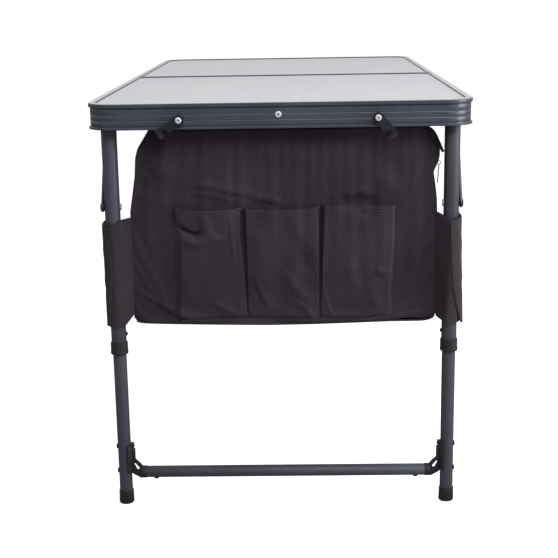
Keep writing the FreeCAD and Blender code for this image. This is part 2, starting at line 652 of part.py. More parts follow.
def pocket(top_left, top_right, low_left, low_right):
    """An open-topped pouch: a front sheet with a floor and two gussets, sewn to the end panel."""
    back = BAG_FRONT_Y - 0.1
    front = back - POCKET_DEPTH
    outline = [(top_left, POCKET_TOP_Z), (top_right, POCKET_TOP_Z),
               (low_right, POCKET_BOTTOM_Z), (low_left, POCKET_BOTTOM_Z)]
    inner = [(top_left + CLOTH, POCKET_TOP_Z + 1), (top_right - CLOTH, POCKET_TOP_Z + 1),
             (low_right - CLOTH, POCKET_BOTTOM_Z + CLOTH), (low_left + CLOTH, POCKET_BOTTOM_Z + CLOTH)]
    return slab_xz(outline, front, back).cut(slab_xz(inner, front + CLOTH, back + 1))


def leg_wrap():
    """A sleeve round the front and outside of one leg, open to the rear so the leg can fold."""
    inner = box(WRAP_INNER_X, WRAP_INNER_X + CLOTH, WRAP_FRONT_Y, BAG_FRONT_Y,
                WRAP_BOTTOM_Z, WRAP_TOP_Z)
    front = box(WRAP_INNER_X, WRAP_OUTER_X, WRAP_FRONT_Y, WRAP_FRONT_Y + CLOTH,
                WRAP_BOTTOM_Z, WRAP_TOP_Z)
    outer = box(WRAP_OUTER_X - CLOTH, WRAP_OUTER_X, WRAP_FRONT_Y, WRAP_BACK_Y, WRAP_BOTTOM_Z, WRAP_TOP_Z)
    return front.multiFuse([inner, outer]).removeSplitter()


def hanging_straps():
    """Webbing tabs from the cupboard's roof up to the stiffeners."""
    low = BAG_TOP_Z + 0.1
    high = STIFFENER_LOW - 0.1
    straps = [box(x - 1, x + 1, y - STRAP_HALF, y + STRAP_HALF, low, high)
              for y in STIFFENER_YS for x in (-STRAP_X, STRAP_X)]
    return Part.makeCompound(straps)


def zip_track():
    """Zip tape and coil up the near edge, along the foot and up the far edge of the side door."""
    x0, x1 = ZIP_X, ZIP_X + ZIP_TAPE
    low, high, half = ZIP_LOW_Z, ZIP_HIGH_Z, ZIP_HALF_WIDTH
    far = BAG_BACK_Y - 30
    near_leg = box(x0, x1, ZIP_Y - half, ZIP_Y + half, low, high)
    foot_run = box(x0, x1, ZIP_Y - half, far + half, low, low + 2 * half)
    far_leg = box(x0, x1, far - half, far + half, low, high)
    return near_leg.multiFuse([foot_run, far_leg]).removeSplitter()


def zip_slider():
    """The slider with its pull cord, knotted at the end."""
    x0 = ZIP_X + ZIP_TAPE + 0.2
    x1 = x0 + 2.0
    half = ZIP_HALF_WIDTH
    foot = ZIP_SLIDER_Z - 2 * half
    body = box(x0, x1, ZIP_Y - half, ZIP_Y + half, foot, ZIP_SLIDER_Z + 2 * half)
    cord = box(x0 + 0.4, x1 - 0.2, ZIP_Y - 1.2, ZIP_Y + 1.2, foot - ZIP_PULL, foot)
    knot = box(x0, x1, ZIP_Y - 3, ZIP_Y + 3, foot - ZIP_PULL - 4, foot - ZIP_PULL + 4)
    return body.multiFuse([cord, knot]).removeSplitter()


def cupboard():
    shell = bag_shell()
    wide, top = HALF_WIDTH, BAG_TOP_Z + 9
    save("cupboard_floor", shell.common(bag_zone(-wide, wide, 300, WALL_LOW_Z)))
    save("cupboard_roof", shell.common(bag_zone(ROOF_LEFT_X, ROOF_RIGHT_X, BAG_TOP_Z - 11, top)))
    left_zone = bag_zone(-wide, ROOF_LEFT_X - 0.1, WALL_LOW_Z + 0.1, top)
    right_zone = bag_zone(ROOF_RIGHT_X + 0.1, wide, WALL_LOW_Z + 0.1, top)
    save("cupboard_side_wall", shell.common(left_zone))
    save("cupboard_zip_door", shell.common(right_zone))
    save("cupboard_end_panel", slab_xz(BAG_OUTLINE, BAG_FRONT_Y, BAG_FRONT_Y + CLOTH - 0.1))
    save("cupboard_inner_panel", slab_xz(BAG_OUTLINE, BAG_BACK_Y - CLOTH + 0.1, BAG_BACK_Y))
    shelf = box(-240, 246, BAG_FRONT_Y + 6, BAG_BACK_Y - 6, SHELF_Z, SHELF_Z + 3)
    save("cupboard_shelf", shelf)
    for name, corners in POCKETS.items():
        save(name, pocket(*corners))
    save("leg_wrap_right", leg_wrap())
    save("leg_wrap_left", mirrored(leg_wrap()))
    save("hanging_straps", hanging_straps())
    save("zip_track", zip_track())
    save("zip_slider", zip_slider())


def table_top():
    save("near_edge_frame", near_frame())
    save("far_edge_frame", far_frame())
    save_both_ends("panel", board())
    save_both_ends("seam_rail", seam_rail())
    save_both_ends("stiffeners", stiffeners())


os.makedirs("parts", exist_ok=True)
table_top()
hinge()
latches()
leg_sets()
cupboard()
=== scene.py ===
import math

import bpy
import numpy as np
from mathutils import Matrix, Vector


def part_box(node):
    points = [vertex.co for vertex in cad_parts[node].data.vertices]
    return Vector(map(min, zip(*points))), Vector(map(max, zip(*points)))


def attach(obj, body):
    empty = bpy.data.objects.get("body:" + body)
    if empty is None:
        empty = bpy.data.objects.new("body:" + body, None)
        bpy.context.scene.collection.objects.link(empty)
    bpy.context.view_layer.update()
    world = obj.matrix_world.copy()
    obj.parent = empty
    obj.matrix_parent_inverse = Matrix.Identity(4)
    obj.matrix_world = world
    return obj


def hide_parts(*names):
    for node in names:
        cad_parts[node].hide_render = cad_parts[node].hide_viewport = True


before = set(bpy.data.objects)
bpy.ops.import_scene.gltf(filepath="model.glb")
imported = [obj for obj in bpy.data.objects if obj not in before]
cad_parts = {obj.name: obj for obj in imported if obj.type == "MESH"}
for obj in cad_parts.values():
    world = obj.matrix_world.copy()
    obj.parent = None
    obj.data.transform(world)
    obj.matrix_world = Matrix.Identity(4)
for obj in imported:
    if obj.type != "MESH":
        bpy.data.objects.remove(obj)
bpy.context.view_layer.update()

# Folding camp kitchen table. Units are metres; X across the table, Y along it, near end at -Y.
MM = 0.001


# ---------------- node materials

def adjust(target, **settings):
    for key, value in settings.items():
        setattr(target, key, value)
    return target


def feed(tree, shader, inputs):
    """Sets a node's sockets, each by its name or number, to a value or to another node's output."""
    for key, value in inputs.items():
        socket = shader.inputs[key]
        if isinstance(value, bpy.types.NodeSocket):
            tree.links.new(value, socket)
        else:
            socket.default_value = value


def node(tree, kind, inputs=None, **settings):
    made = adjust(tree.nodes.new(kind), **settings)
    feed(tree, made, inputs or {})
    return made


def math_node(tree, operation, a, b=0.0, c=0.0):
    return node(tree, "ShaderNodeMath", {0: a, 1: b, 2: c}, operation=operation).outputs[0]


def noise(tree, vector, scale, detail=4.0, roughness=0.55):
    made = node(tree, "ShaderNodeTexNoise",
                {"Vector": vector, "Scale": scale, "Detail": detail, "Roughness": roughness})
    return made.outputs["Fac"]


def remap(tree, value, low, high, out_low=0.0, out_high=1.0):
    made = node(tree, "ShaderNodeMapRange", {"Value": value, "From Min": low, "From Max": high,
                                             "To Min": out_low, "To Max": out_high})
    return made.outputs["Result"]


def mix_color(tree, factor, a, b):
    return node(tree, "ShaderNodeMix", {0: factor, 6: a, 7: b}, data_type="RGBA").outputs[2]


def bump(tree, height, strength, distance, normal=None):
    inputs = {"Height": height, "Strength": strength, "Distance": distance}
    if normal is not None:
        inputs["Normal"] = normal
    return node(tree, "ShaderNodeBump", inputs).outputs["Normal"]


def rgb(red, green, blue):
    """A colour given on the 0-255 display scale, as the linear values a shader takes."""
    def linear(v):
        v = v / 255
        return v / 12.92 if v <= 0.04045 else ((v + 0.055) / 1.055) ** 2.4
    return (linear(red), linear(green), linear(blue), 1.0)


def axis_of(tree, vector, axis):
    return node(tree, "ShaderNodeSeparateXYZ", {"Vector": vector}).outputs[axis]


def new_material(name):
    material = bpy.data.materials.new(name)
    material.use_nodes = True
    tree = material.node_tree
    shader = tree.nodes["Principled BSDF"]
    place = tree.nodes.new("ShaderNodeTexCoord").outputs["Object"]
    return material, tree, shader, place


def drive(tree, shader, **sockets):
    names = {"color": "Base Color", "roughness": "Roughness", "normal": "Normal", "metallic": "Metallic",
             "specular": "Specular IOR Level", "coat": "Coat Weight", "coat_roughness": "Coat Roughness",
             "sheen": "Sheen Weight", "sheen_roughness": "Sheen Roughness"}
    feed(tree, shader, {names[key]: value for key, value in sockets.items()})


def worn_and_highlit_edges(tree, amount):
    """A mask of the sharpest edges, where paint has rubbed thin; the lighter colour mixed in there also
    serves as a painted edge highlight.
    """
    pointiness = node(tree, "ShaderNodeNewGeometry").outputs["Pointiness"]
    return remap(tree, pointiness, 0.53, 0.62, 0.0, amount)


def powder_coat(name, dark, light, painted_top_reflection=False, roughness=0.43, coat=0.12):
    """Satin powder coat over aluminium: fine orange peel, faint mottling and rubbed edges, lightened so that
    they also act as a painted edge highlight; on request, a painted reflection on the rim's top.
    """
    material, tree, shader, place = new_material(name)
    mottle = noise(tree, place, 9.0, 3.0)
    color = mix_color(tree, remap(tree, mottle, 0.35, 0.65), dark, light)
    grain = noise(tree, place, 2600.0, 2.0)
    color = mix_color(tree, remap(tree, grain, 0.3, 0.7, 0.0, 0.18), color, light)
    # Rubbed paint on the sharpest edges, lightened, which also serves as a painted edge highlight.
    color = mix_color(tree, worn_and_highlit_edges(tree, 0.35), color, rgb(120, 122, 130))
    peel = noise(tree, place, 900.0, 2.0)
    scuffs = noise(tree, place, 60.0, 5.0, 0.7)
    satin = remap(tree, scuffs, 0.3, 0.7, roughness - 0.07, roughness + 0.07)
    metallic = 0.0
    # Painted reflection: the upward-facing top of the rim is painted light grey and made partly metallic,
    # standing in for the bright sky it reflects.
    if painted_top_reflection:
        up = axis_of(tree, node(tree, "ShaderNodeNewGeometry").outputs["True Normal"], "Z")
        at_top = remap(tree, axis_of(tree, place, "Z"), RIM_TOP - 1.5 * MM, RIM_TOP - 1.0 * MM)
        rim = math_node(tree, "MULTIPLY", remap(tree, up, 0.90, 0.97), at_top)
        brushed = noise(tree, place, 700.0, 3.0)
        sky_reflection = mix_color(tree, brushed, rgb(176, 176, 178), rgb(206, 206, 208))
        color = mix_color(tree, rim, color, sky_reflection)
        metallic = math_node(tree, "MULTIPLY", rim, 0.35)
    drive(tree, shader, color=color, roughness=satin, metallic=metallic,
          normal=bump(tree, peel, 0.25, 0.12 * MM), coat=coat, coat_roughness=0.3)
    return material


def laminate():
    """Light grey melamine board: soft fleck, faint lengthwise grain, fine texture and handling marks."""
    material, tree, shader, place = new_material("laminate")
    stretched = node(tree, "ShaderNodeMapping", {"Vector": place, "Scale": (1.0, 0.08, 1.0)}).outputs[0]
    grain = noise(tree, stretched, 420.0, 5.0, 0.6)
    fleck = noise(tree, place, 1500.0, 2.0)
    cloud = noise(tree, place, 5.0, 3.0)
    color = mix_color(tree, remap(tree, grain, 0.3, 0.7), rgb(206, 205, 210), rgb(214, 213, 217))
    color = mix_color(tree, remap(tree, fleck, 0.62, 0.72, 0.0, 0.5), color, rgb(185, 185, 191))
    color = mix_color(tree, remap(tree, cloud, 0.4, 0.65, 0.0, 0.25), color, rgb(199, 199, 206))
    smudge = noise(tree, place, 14.0, 6.0, 0.7)
    tooth = noise(tree, place, 1800.0, 3.0)
    drive(tree, shader, color=color, roughness=remap(tree, smudge, 0.3, 0.7, 0.34, 0.5),
          normal=bump(tree, tooth, 0.2, 0.08 * MM), specular=0.45)
    return material


def moulded_plastic(name, dark, light, roughness=0.5):
    """Black nylon with a spark-eroded grain and slightly polished edges, lightened so that they also serve
    as a painted edge highlight.
    """
    material, tree, shader, place = new_material(name)
    grain = noise(tree, place, 1400.0, 3.0, 0.6)
    patch = noise(tree, place, 45.0, 4.0)
    color = mix_color(tree, remap(tree, grain, 0.35, 0.7), dark, light)
    # Polished edges, lightened, which also serve as a painted edge highlight.
    color = mix_color(tree, worn_and_highlit_edges(tree, 0.4), color, rgb(74, 75, 80))
    drive(tree, shader, color=color, normal=bump(tree, grain, 0.45, 0.15 * MM), specular=0.3,
          roughness=remap(tree, patch, 0.3, 0.7, roughness - 0.07, roughness + 0.08))
    return material


def metal(name, color, roughness, brushed_scale=1200.0, metallic=1.0, inner_color=None):
    """Plated or bare metal: fine brushed lines, tarnish, and painted shade in the recesses."""
    material, tree, shader, place = new_material(name)
    stretched = node(tree, "ShaderNodeMapping", {"Vector": place, "Scale": (0.1, 1.0, 1.0)}).outputs[0]
    lines = noise(tree, stretched, brushed_scale, 3.0)
    tarnish = noise(tree, place, 130.0, 4.0)
    darker = tuple(0.72 * c for c in color[:3]) + (1.0,)
    shade = mix_color(tree, remap(tree, tarnish, 0.4, 0.75), color, darker)
    if inner_color:
        side = math_node(tree, "ABSOLUTE", axis_of(tree, place, "X"))
        outboard = remap(tree, side, LEG_MIDDLE - 1 * MM, LEG_MIDDLE)
        shade = mix_color(tree, outboard, inner_color, shade)
    # Painted shade: where ambient occlusion finds a recess, the colour is darkened towards near black.
    open_share = node(tree, "ShaderNodeAmbientOcclusion", {"Distance": 1.6 * MM}).outputs["AO"]
    shade = mix_color(tree, remap(tree, open_share, 0.3, 0.85), rgb(34, 34, 37), shade)
    drive(tree, shader, color=shade, metallic=metallic,
          roughness=remap(tree, lines, 0.3, 0.7, roughness - 0.06, roughness + 0.1),
          normal=bump(tree, lines, 0.12, 0.05 * MM))
    return material


def woven(name, dark, light, pitch=0.75 * MM, roughness=0.72, sheen=0.06, thread_depth=0.5, gap_shade=None):
    """A plain weave laid out on the cloth's own lengthwise and crosswise distances.

    The last setting paints shade onto the cloth where it is closed in: its reach, the share of sky that
    counts as open, and its depth.
    """
    material, tree, shader, place = new_material(name)
    cloth = node(tree, "ShaderNodeUVMap", uv_map="cloth").outputs["UV"]
    across, along = (math_node(tree, "MULTIPLY", axis_of(tree, cloth, k), 1.0 / pitch) for k in "XY")
    waves = (math_node(tree, "SINE", math_node(tree, "MULTIPLY", v, math.pi)) for v in (across, along))
    warp, weft = (math_node(tree, "ABSOLUTE", wave) for wave in waves)
    checker = node(tree, "ShaderNodeTexChecker", {
        "Vector": node(tree, "ShaderNodeCombineXYZ", {"X": across, "Y": along}).outputs[0], "Scale": 1.0})
    over = checker.outputs["Fac"]
    threads = node(tree, "ShaderNodeMix", {0: over, 2: warp, 3: weft}).outputs[0]
    slub = noise(tree, place, 520.0, 3.0)
    worn = noise(tree, place, 7.0, 5.0, 0.62)
    tone = math_node(tree, "MULTIPLY_ADD", threads, 0.35, remap(tree, slub, 0.3, 0.7, 0.0, 0.35))
    tone = math_node(tree, "ADD", tone, remap(tree, worn, 0.35, 0.65, -0.1, 0.3))
    color = mix_color(tree, tone, dark, light)
    if gap_shade:
        reach, open_enough, depth = gap_shade
        # Painted shade: where ambient occlusion finds the cloth closed in, its colour is darkened towards
        # near black.
        open_share = node(tree, "ShaderNodeAmbientOcclusion", {"Distance": reach}).outputs["AO"]
        painted_gap_shade = remap(tree, open_share, 0.25, open_enough, depth, 0.0)
        color = mix_color(tree, painted_gap_shade, color, rgb(10, 8, 12))
    fuzz = noise(tree, place, 2400.0, 2.0)
    normal = bump(tree, fuzz, 0.25, 0.1 * MM)
    normal = bump(tree, threads, thread_depth, 0.25 * MM, normal)
    drive(tree, shader, color=color, normal=normal, sheen=sheen, sheen_roughness=0.55, specular=0.1,
          roughness=remap(tree, worn, 0.3, 0.7, roughness - 0.08, roughness + 0.08))
    return material


RIM_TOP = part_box("near_edge_frame")[1].z
LEG_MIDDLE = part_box("near_lower_legs")[1].x - 11 * MM

MATERIALS = {
    "laminate": laminate(),
    # The frame's rim top carries the painted sky reflection.
    "frame": powder_coat("frame_powder_coat", rgb(55, 58, 71), rgb(69, 72, 87), painted_top_reflection=True, coat=0.3),
    "legs": powder_coat("leg_powder_coat", rgb(47, 48, 58), rgb(60, 62, 74), roughness=0.58, coat=0.05),
    "brace": powder_coat("brace_black", rgb(24, 24, 27), rgb(38, 38, 42)),
    "plastic": moulded_plastic("black_plastic", rgb(23, 24, 28), rgb(39, 40, 45)),
    "latch_plastic": moulded_plastic("latch_plastic", rgb(22, 24, 33), rgb(38, 41, 53), 0.42),
    "zinc": metal("zinc_steel", rgb(242, 243, 246), 0.4, metallic=0.55),
    "black_steel": metal("black_steel", rgb(52, 52, 57), 0.45),
    "pin_steel": metal("pin_steel", rgb(46, 46, 50), 0.45, metallic=0.6, inner_color=rgb(176, 178, 184)),
    "aluminium": metal("bare_aluminium", rgb(188, 190, 194), 0.38, 500.0),
    # The last setting of each cloth paints shade into narrow openings; the wrap's wide reach paints shade
    # over its inner part, beside the cupboard.
    "cupboard": woven("cupboard_fabric", rgb(40, 33, 41), rgb(71, 60, 72), gap_shade=(16 * MM, 0.72, 0.85)),
    "pocket": woven("pocket_fabric", rgb(42, 35, 43), rgb(75, 64, 77), roughness=0.68,
                    gap_shade=(16 * MM, 0.72, 0.85)),
    "wrap": woven("wrap_fabric", rgb(42, 37, 42), rgb(72, 65, 71), roughness=0.7, gap_shade=(60 * MM, 0.86, 0.9)),
    # Painted light: a lighter, more neutral copy of the wrap cloth for the right flap, where light falls
    # from the right.
    "wrap_lit": woven("wrap_fabric_lit", rgb(50, 46, 48), rgb(84, 78, 80), roughness=0.62,
                         gap_shade=(16 * MM, 0.72, 0.6)),
    "binding": woven("binding_tape", rgb(38, 33, 39), rgb(70, 63, 72), 1.1 * MM, 0.66, 0.12, 0.8),
    "webbing": woven("webbing", rgb(20, 19, 22), rgb(44, 42, 47), 1.6 * MM, 0.62, 0.1, 1.0),
    "thread": woven("sewing_thread", rgb(66, 59, 68), rgb(98, 90, 100), 0.3 * MM, 0.55, 0.1, 0.6),
    "zip_coil": moulded_plastic("zip_coil", rgb(26, 25, 28), rgb(46, 44, 49), 0.4),
    "cord": woven("zip_cord", rgb(30, 28, 32), rgb(66, 62, 70), 0.5 * MM, 0.6, 0.1, 0.8),
}


# ---------------- carried-over CAD nodes

CAD_FINISH = (
    (("latch_left", "latch_right"), "latch_plastic"),
    (("_edge_frame", "_seam_rail"), "frame"),
    (("_upper_legs", "_lower_legs", "_crossbar", "_leg_axle"), "legs"),
    (("_braces",), "brace"),
    (("_leg_collars", "_feet", "_elbows"), "plastic"),
    (("_leg_rivets", "_button_left", "_button_right"), "black_steel"),
    (("_brace_pins",), "pin_steel"),
    (("near_panel", "far_panel"), "laminate"),
    (("_stiffeners",), "aluminium"),
)


def finish_of(name):
    for endings, finish in CAD_FINISH:
        if name.endswith(endings):
            return finish
    return "zinc"


def dress_cad_nodes():
    """Gives each rigid node its material, and eases its sharp edges so they catch light."""
    for name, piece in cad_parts.items():
        piece.data.materials.clear()
        piece.data.materials.append(MATERIALS[finish_of(name)])
        adjust(piece.modifiers.new("weld", "WELD"), merge_threshold=0.002 * MM)
        adjust(piece.modifiers.new("edge", "BEVEL"), width=0.35 * MM, segments=2, limit_method="ANGLE",
               angle_limit=math.radians(38), harden_normals=True, use_clamp_overlap=True)


# ---------------- cloth sheets

def add_object(name, data):
    made = bpy.data.objects.new(name, data)
    bpy.context.scene.collection.objects.link(made)
    return made


def make_mesh(name, points, faces, material, uvs):
    mesh = bpy.data.meshes.new(name)
    mesh.from_pydata([tuple(p) for p in points], [], faces)
    mesh.materials.append(MATERIALS[material])
    flat = np.array([uvs[loop.vertex_index] for loop in mesh.loops], np.float32)
    mesh.uv_layers.new(name="cloth").data.foreach_set("uv", flat.ravel())
    mesh.shade_smooth()
    return add_object(name, mesh)


def grid_faces(rows, cols, closed=False):
    faces = []
    for r in range(rows - 1):
        for c in range(cols if closed else cols - 1):
            d = (c + 1) % cols
            faces.append((r * cols + c, r * cols + d, (r + 1) * cols + d, (r + 1) * cols + c))
    return faces


def tube_faces(rings, sides, closed=False):
    """Faces of a tube of rings, capped at both ends unless it closes on itself."""
    last = (rings - 1) * sides
    ends = [tuple(reversed(range(sides))), tuple(range(last, last + sides))]
    if closed:
        ends = [(last + k, last + (k + 1) % sides, (k + 1) % sides, k) for k in range(sides)]
    return grid_faces(rings, sides, True) + ends


def unit(vectors):
    return vectors / np.maximum(np.linalg.norm(vectors, axis=-1, keepdims=True), 1e-12)


def distances(points):
    """How far along a polyline each of its points is."""
    return np.concatenate([[0], np.cumsum(np.linalg.norm(np.diff(points, axis=0), axis=1))])


def grid_uvs(grid):
    """Distances along and across the middle of a grid of points, so that the weave keeps its size."""
    rows, cols = grid.shape[:2]
    middle = np.meshgrid(distances(grid[rows // 2]), distances(grid[:, cols // 2]))
    return np.stack(middle, axis=-1).reshape(-1, 2)


def grid_mesh(name, grid, material):
    return make_mesh(name, grid.reshape(-1, 3), grid_faces(*grid.shape[:2]), material, grid_uvs(grid))


DRAPE_FRAMES = 22
CANVAS = dict(vertex_group_mass="pins", quality=6, mass=0.25, tension_stiffness=25, compression_stiffness=18,
              shear_stiffness=12, bending_stiffness=1.6, air_damping=2.0)


def drape(grid, pinned, slack, gravity, cap):
    """Hangs a grid of points as cloth from its pinned points, and returns the grid settled by up to cap."""
    cloth = grid_mesh("drape", grid, "cupboard")
    group = cloth.vertex_groups.new(name="pins")
    group.add([int(i) for i in np.flatnonzero(pinned.ravel())], 1.0, "REPLACE")
    sim = cloth.modifiers.new("cloth", "CLOTH")
    adjust(sim.settings, shrink_min=-slack, **CANVAS)
    sim.settings.effector_weights.gravity = gravity
    scene = bpy.context.scene
    for number in range(1, DRAPE_FRAMES + 1):
        scene.frame_set(number)
    settled = cloth.evaluated_get(bpy.context.evaluated_depsgraph_get()).to_mesh()
    moved = np.array([v.co for v in settled.vertices], float).reshape(grid.shape)
    scene.frame_set(1)
    bpy.data.objects.remove(cloth)
    shift = moved - grid
    length = np.linalg.norm(shift, axis=-1, keepdims=True)
    return grid + shift * np.minimum(1.0, cap / np.maximum(length, 1e-9))


def edge_pins(grid, top=True):
    """A mask of the grid's edges, where the cloth is sewn down."""
    pins = np.zeros(grid.shape[:2], bool)
    pins[0] = True
    pins[-1] = top
    pins[:, [0, -1]] = True
    return pins


def sample(grid, u, v):
    """The point at a share u across and v up a grid."""
    rows, cols = grid.shape[:2]
    x = min(max(u, 0.0), 1.0) * (cols - 1)
    y = min(max(v, 0.0), 1.0) * (rows - 1)
    c, r = min(int(x), cols - 2), min(int(y), rows - 2)
    fx, fy = x - c, y - r
    low = grid[r, c] * (1 - fx) + grid[r, c + 1] * fx
    high = grid[r + 1, c] * (1 - fx) + grid[r + 1, c + 1] * fx
    return low * (1 - fy) + high * fy


def grid_normals(grid):
    return unit(np.cross(np.gradient(grid, axis=1), np.gradient(grid, axis=0)))


def resample(points, spacing):
    """Points at even spacing along a polyline, with the direction at each."""
    points = np.array(points, float)
    distance = distances(points)
    count = max(2, int(distance[-1] / spacing))
    at = (np.arange(count) + 0.5) * distance[-1] / count
    placed, ahead, behind = (
        np.stack([np.interp(at + shift, distance, points[:, k]) for k in range(3)], axis=1)
        for shift in (0.0, spacing * 0.3, -spacing * 0.3))
    return placed, unit(ahead - behind)


BEAD_RINGS = ((-0.5, 0.25), (-0.3, 0.85), (0.0, 1.0), (0.3, 0.85), (0.5, 0.25))
BEAD_SIDES = 6


def beads(name, lines, material, spacing, length, radius, outward):
    """Rows of small rounded beads, such as stitches or zip teeth, along polylines."""
    points, faces = [], []
    bead_faces = tube_faces(len(BEAD_RINGS), BEAD_SIDES)
    for line in lines:
        placed, directions = resample(line, spacing)
        for centre, along in zip(placed, directions):
            side = unit(np.cross(along, outward))
            up = np.cross(side, along)
            first = len(points)
            for shift, share in BEAD_RINGS:
                for k in range(BEAD_SIDES):
                    angle = 2 * math.pi * k / BEAD_SIDES
                    spoke = side * math.cos(angle) + up * (0.7 * math.sin(angle))
                    points.append(centre + along * (shift * length) + spoke * (radius * share))
            faces += [tuple(first + i for i in face) for face in bead_faces]
    uvs = [(p[0] + p[1], p[2]) for p in points]
    return make_mesh(name, points, faces, material, uvs)


def strip(path, half_width, half_height, outward, sides=10, closed=False):
    """Points, faces and cloth distances of a flattened round section swept along a path."""
    path = np.array(path, float)
    ahead = np.roll(path, -1, axis=0)
    behind = np.roll(path, 1, axis=0)
    if not closed:
        ahead[-1], behind[0] = path[-1], path[0]
    along = unit(ahead - behind)
    side = unit(np.cross(along, outward))
    up = np.cross(side, along)
    angles = 2 * np.pi * np.arange(sides) / sides
    ring = (side[:, None] * (np.cos(angles)[None, :, None] * half_width)
            + up[:, None] * (np.sin(angles)[None, :, None] * half_height))
    points = (path[:, None] + ring).reshape(-1, 3)
    count = len(path)
    distance = distances(path)
    girth = math.pi * (half_width + half_height)
    uvs = [(girth * k / sides, distance[r]) for r in range(count) for k in range(sides)]
    return points, tube_faces(count, sides, closed), uvs


def swept(name, material, *strips):
    """One object from one or more strips: bindings, piping, webbing and cords."""
    points, faces, uvs = [], [], []
    for strip_points, strip_faces, strip_uvs in strips:
        faces += [tuple(len(points) + i for i in face) for face in strip_faces]
        points += list(strip_points)
        uvs += strip_uvs
    return make_mesh(name, points, faces, material, uvs)


def smooth_curve(points, count):
    """A Catmull-Rom curve through points."""
    p = np.array(points, float)
    p = np.vstack([2 * p[0] - p[1], p, 2 * p[-1] - p[-2]])
    spans = len(p) - 3
    made = []
    for t in np.linspace(0, spans - 1e-9, count):
        i, f = int(t), t - int(t)
        a, b, c, d = p[i:i + 4]
        made.append(0.5 * (2 * b + (c - a) * f + (2 * a - 5 * b + 4 * c - d) * f ** 2
                           + (3 * b - a - 3 * c + d) * f ** 3))
    return np.array(made)


def ride_root(piece, *replaced, slot="cupboard_fabric"):
    """Fixes a piece to the near half, in place of the CAD nodes it replaces. The slot argument is not used.
    """
    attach(piece, "root")
    if replaced:
        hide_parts(*replaced)


def hang(name, grid, material, *replaced, slot="cupboard_fabric", thickness=1.3 * MM):
    """A cloth panel with real thickness, from a grid of points."""
    piece = grid_mesh(name + "_cloth", grid, material)
    adjust(piece.modifiers.new("thickness", "SOLIDIFY"), thickness=thickness, offset=0.0)
    adjust(piece.modifiers.new("smooth", "SUBSURF"), levels=1, render_levels=1)
    ride_root(piece, *replaced, slot=slot)


# ---------------- cupboard

def metres(rows):
    return np.array(rows, float) * MM


def look_up(table, at, column=1):
    """A column of a table, read off between its rows at values of its first column."""
    return np.interp(at, table[:, 0], table[:, column])


FRONT_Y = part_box("cupboard_end_panel")[0].y + 1.0 * MM
BACK_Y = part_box("cupboard_inner_panel")[1].y - 1.0 * MM
ROOF_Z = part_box("cupboard_roof")[1].z - 1.0 * MM
FRONT = (0.0, -1.0, 0.0)
REAR = (0.0, 1.0, 0.0)
RIGHT = (1.0, 0.0, 0.0)

# Side edges of the end panel: height, left X, right X (millimetres).
SIDE_EDGES = metres((
    (318, -243.5, 245.5), (328, -243.6, 248.2), (352, -243.2, 247.6), (400, -242.8, 247.6),
    (453, -242.6, 247.8), (476, -242.4, 247.9), (498, -242.5, 248.1), (512, -240.4, 247.6),
    (528, -237.6, 246.0), (542, -235.2, 244.0), (555, -233.0, 242.0), (572, -231.6, 240.6),
    (586, -230.6, 240.0), (601, -226.4, 240.0), (615, -217.5, 239.6), (631, -207.5, 234.0),
))
# Its lower edge: X, height.
LOW_EDGE = metres((
    (-243.5, 322.0), (-239, 319.0), (-232, 317.2), (-225, 316.4), (-189, 315.0), (-93, 312.6), (-21, 311.4),
    (50, 312.2), (111, 313.8), (173, 315.6), (222, 315.8), (231, 316.4), (237, 317.6), (242, 319.6),
    (246, 323.4), (248, 327.0),
))
# The gap above the floor's front edge.
SLIT_FROM, SLIT_TO, SLIT_RISE = 0.1745, 0.2365, 4.4 * MM
PANEL_FOOT_Z, PUFF_FOOT_Z, WALL_FOOT_Z = 0.3165, 0.3150, 0.3205
FLOOR_SIDES, PIPING_SIDES, HEM_SIDES = (-0.2425, 0.2465), (-0.2400, 0.2466), (-0.1672, 0.1722)


def side_x(z):
    return look_up(SIDE_EDGES, z, 1), look_up(SIDE_EDGES, z, 2)


def low_z(x):
    return look_up(LOW_EDGE, x)


def end_grid(y, rows=84, cols=116):
    """Points over the whole outline of an end panel."""
    grid = np.zeros((rows, cols, 3))
    for r, v in enumerate(np.linspace(0, 1, rows)):
        for c, u in enumerate(np.linspace(0, 1, cols)):
            z = PANEL_FOOT_Z + (ROOF_Z - PANEL_FOOT_Z) * v
            for _ in range(3):
                left, right = side_x(z)
                x = left + (right - left) * u
                z = low_z(x) + (ROOF_Z - low_z(x)) * v
            grid[r, c] = (x, y, z)
    return grid


def smoothstep(t):
    t = np.clip(t, 0, 1)
    return t * t * (3 - 2 * t)


def crease(grid, line, height, width, wide_below):
    """Lifts a soft ridge on a grid, towards -Y, along a polyline of (x, z) points in millimetres."""
    line = metres(line)
    steps = np.linalg.norm(np.diff(line, axis=0), axis=1)
    total = steps.sum()
    place = grid[..., [0, 2]]
    best = np.full(grid.shape[:2], np.inf)
    lift = np.zeros(grid.shape[:2])
    gone = 0.0
    for a, b, length in zip(line[:-1], line[1:], steps):
        along = (b - a) / length
        rel = place - a
        t = np.clip(rel @ along, 0, length)
        offset = rel - t[..., None] * along
        far = np.linalg.norm(offset, axis=-1)
        spread = np.where(offset[..., 1] < 0, width * wide_below, width) * MM
        ends = smoothstep(np.minimum(gone + t, total - gone - t) / (0.3 * total) + 0.04)
        profile = ends * np.exp(-(far / spread) ** 2)
        nearer = far < best
        lift = np.where(nearer, profile, lift)
        best = np.where(nearer, far, best)
        gone += length
    grid[..., 1] -= height * MM * lift


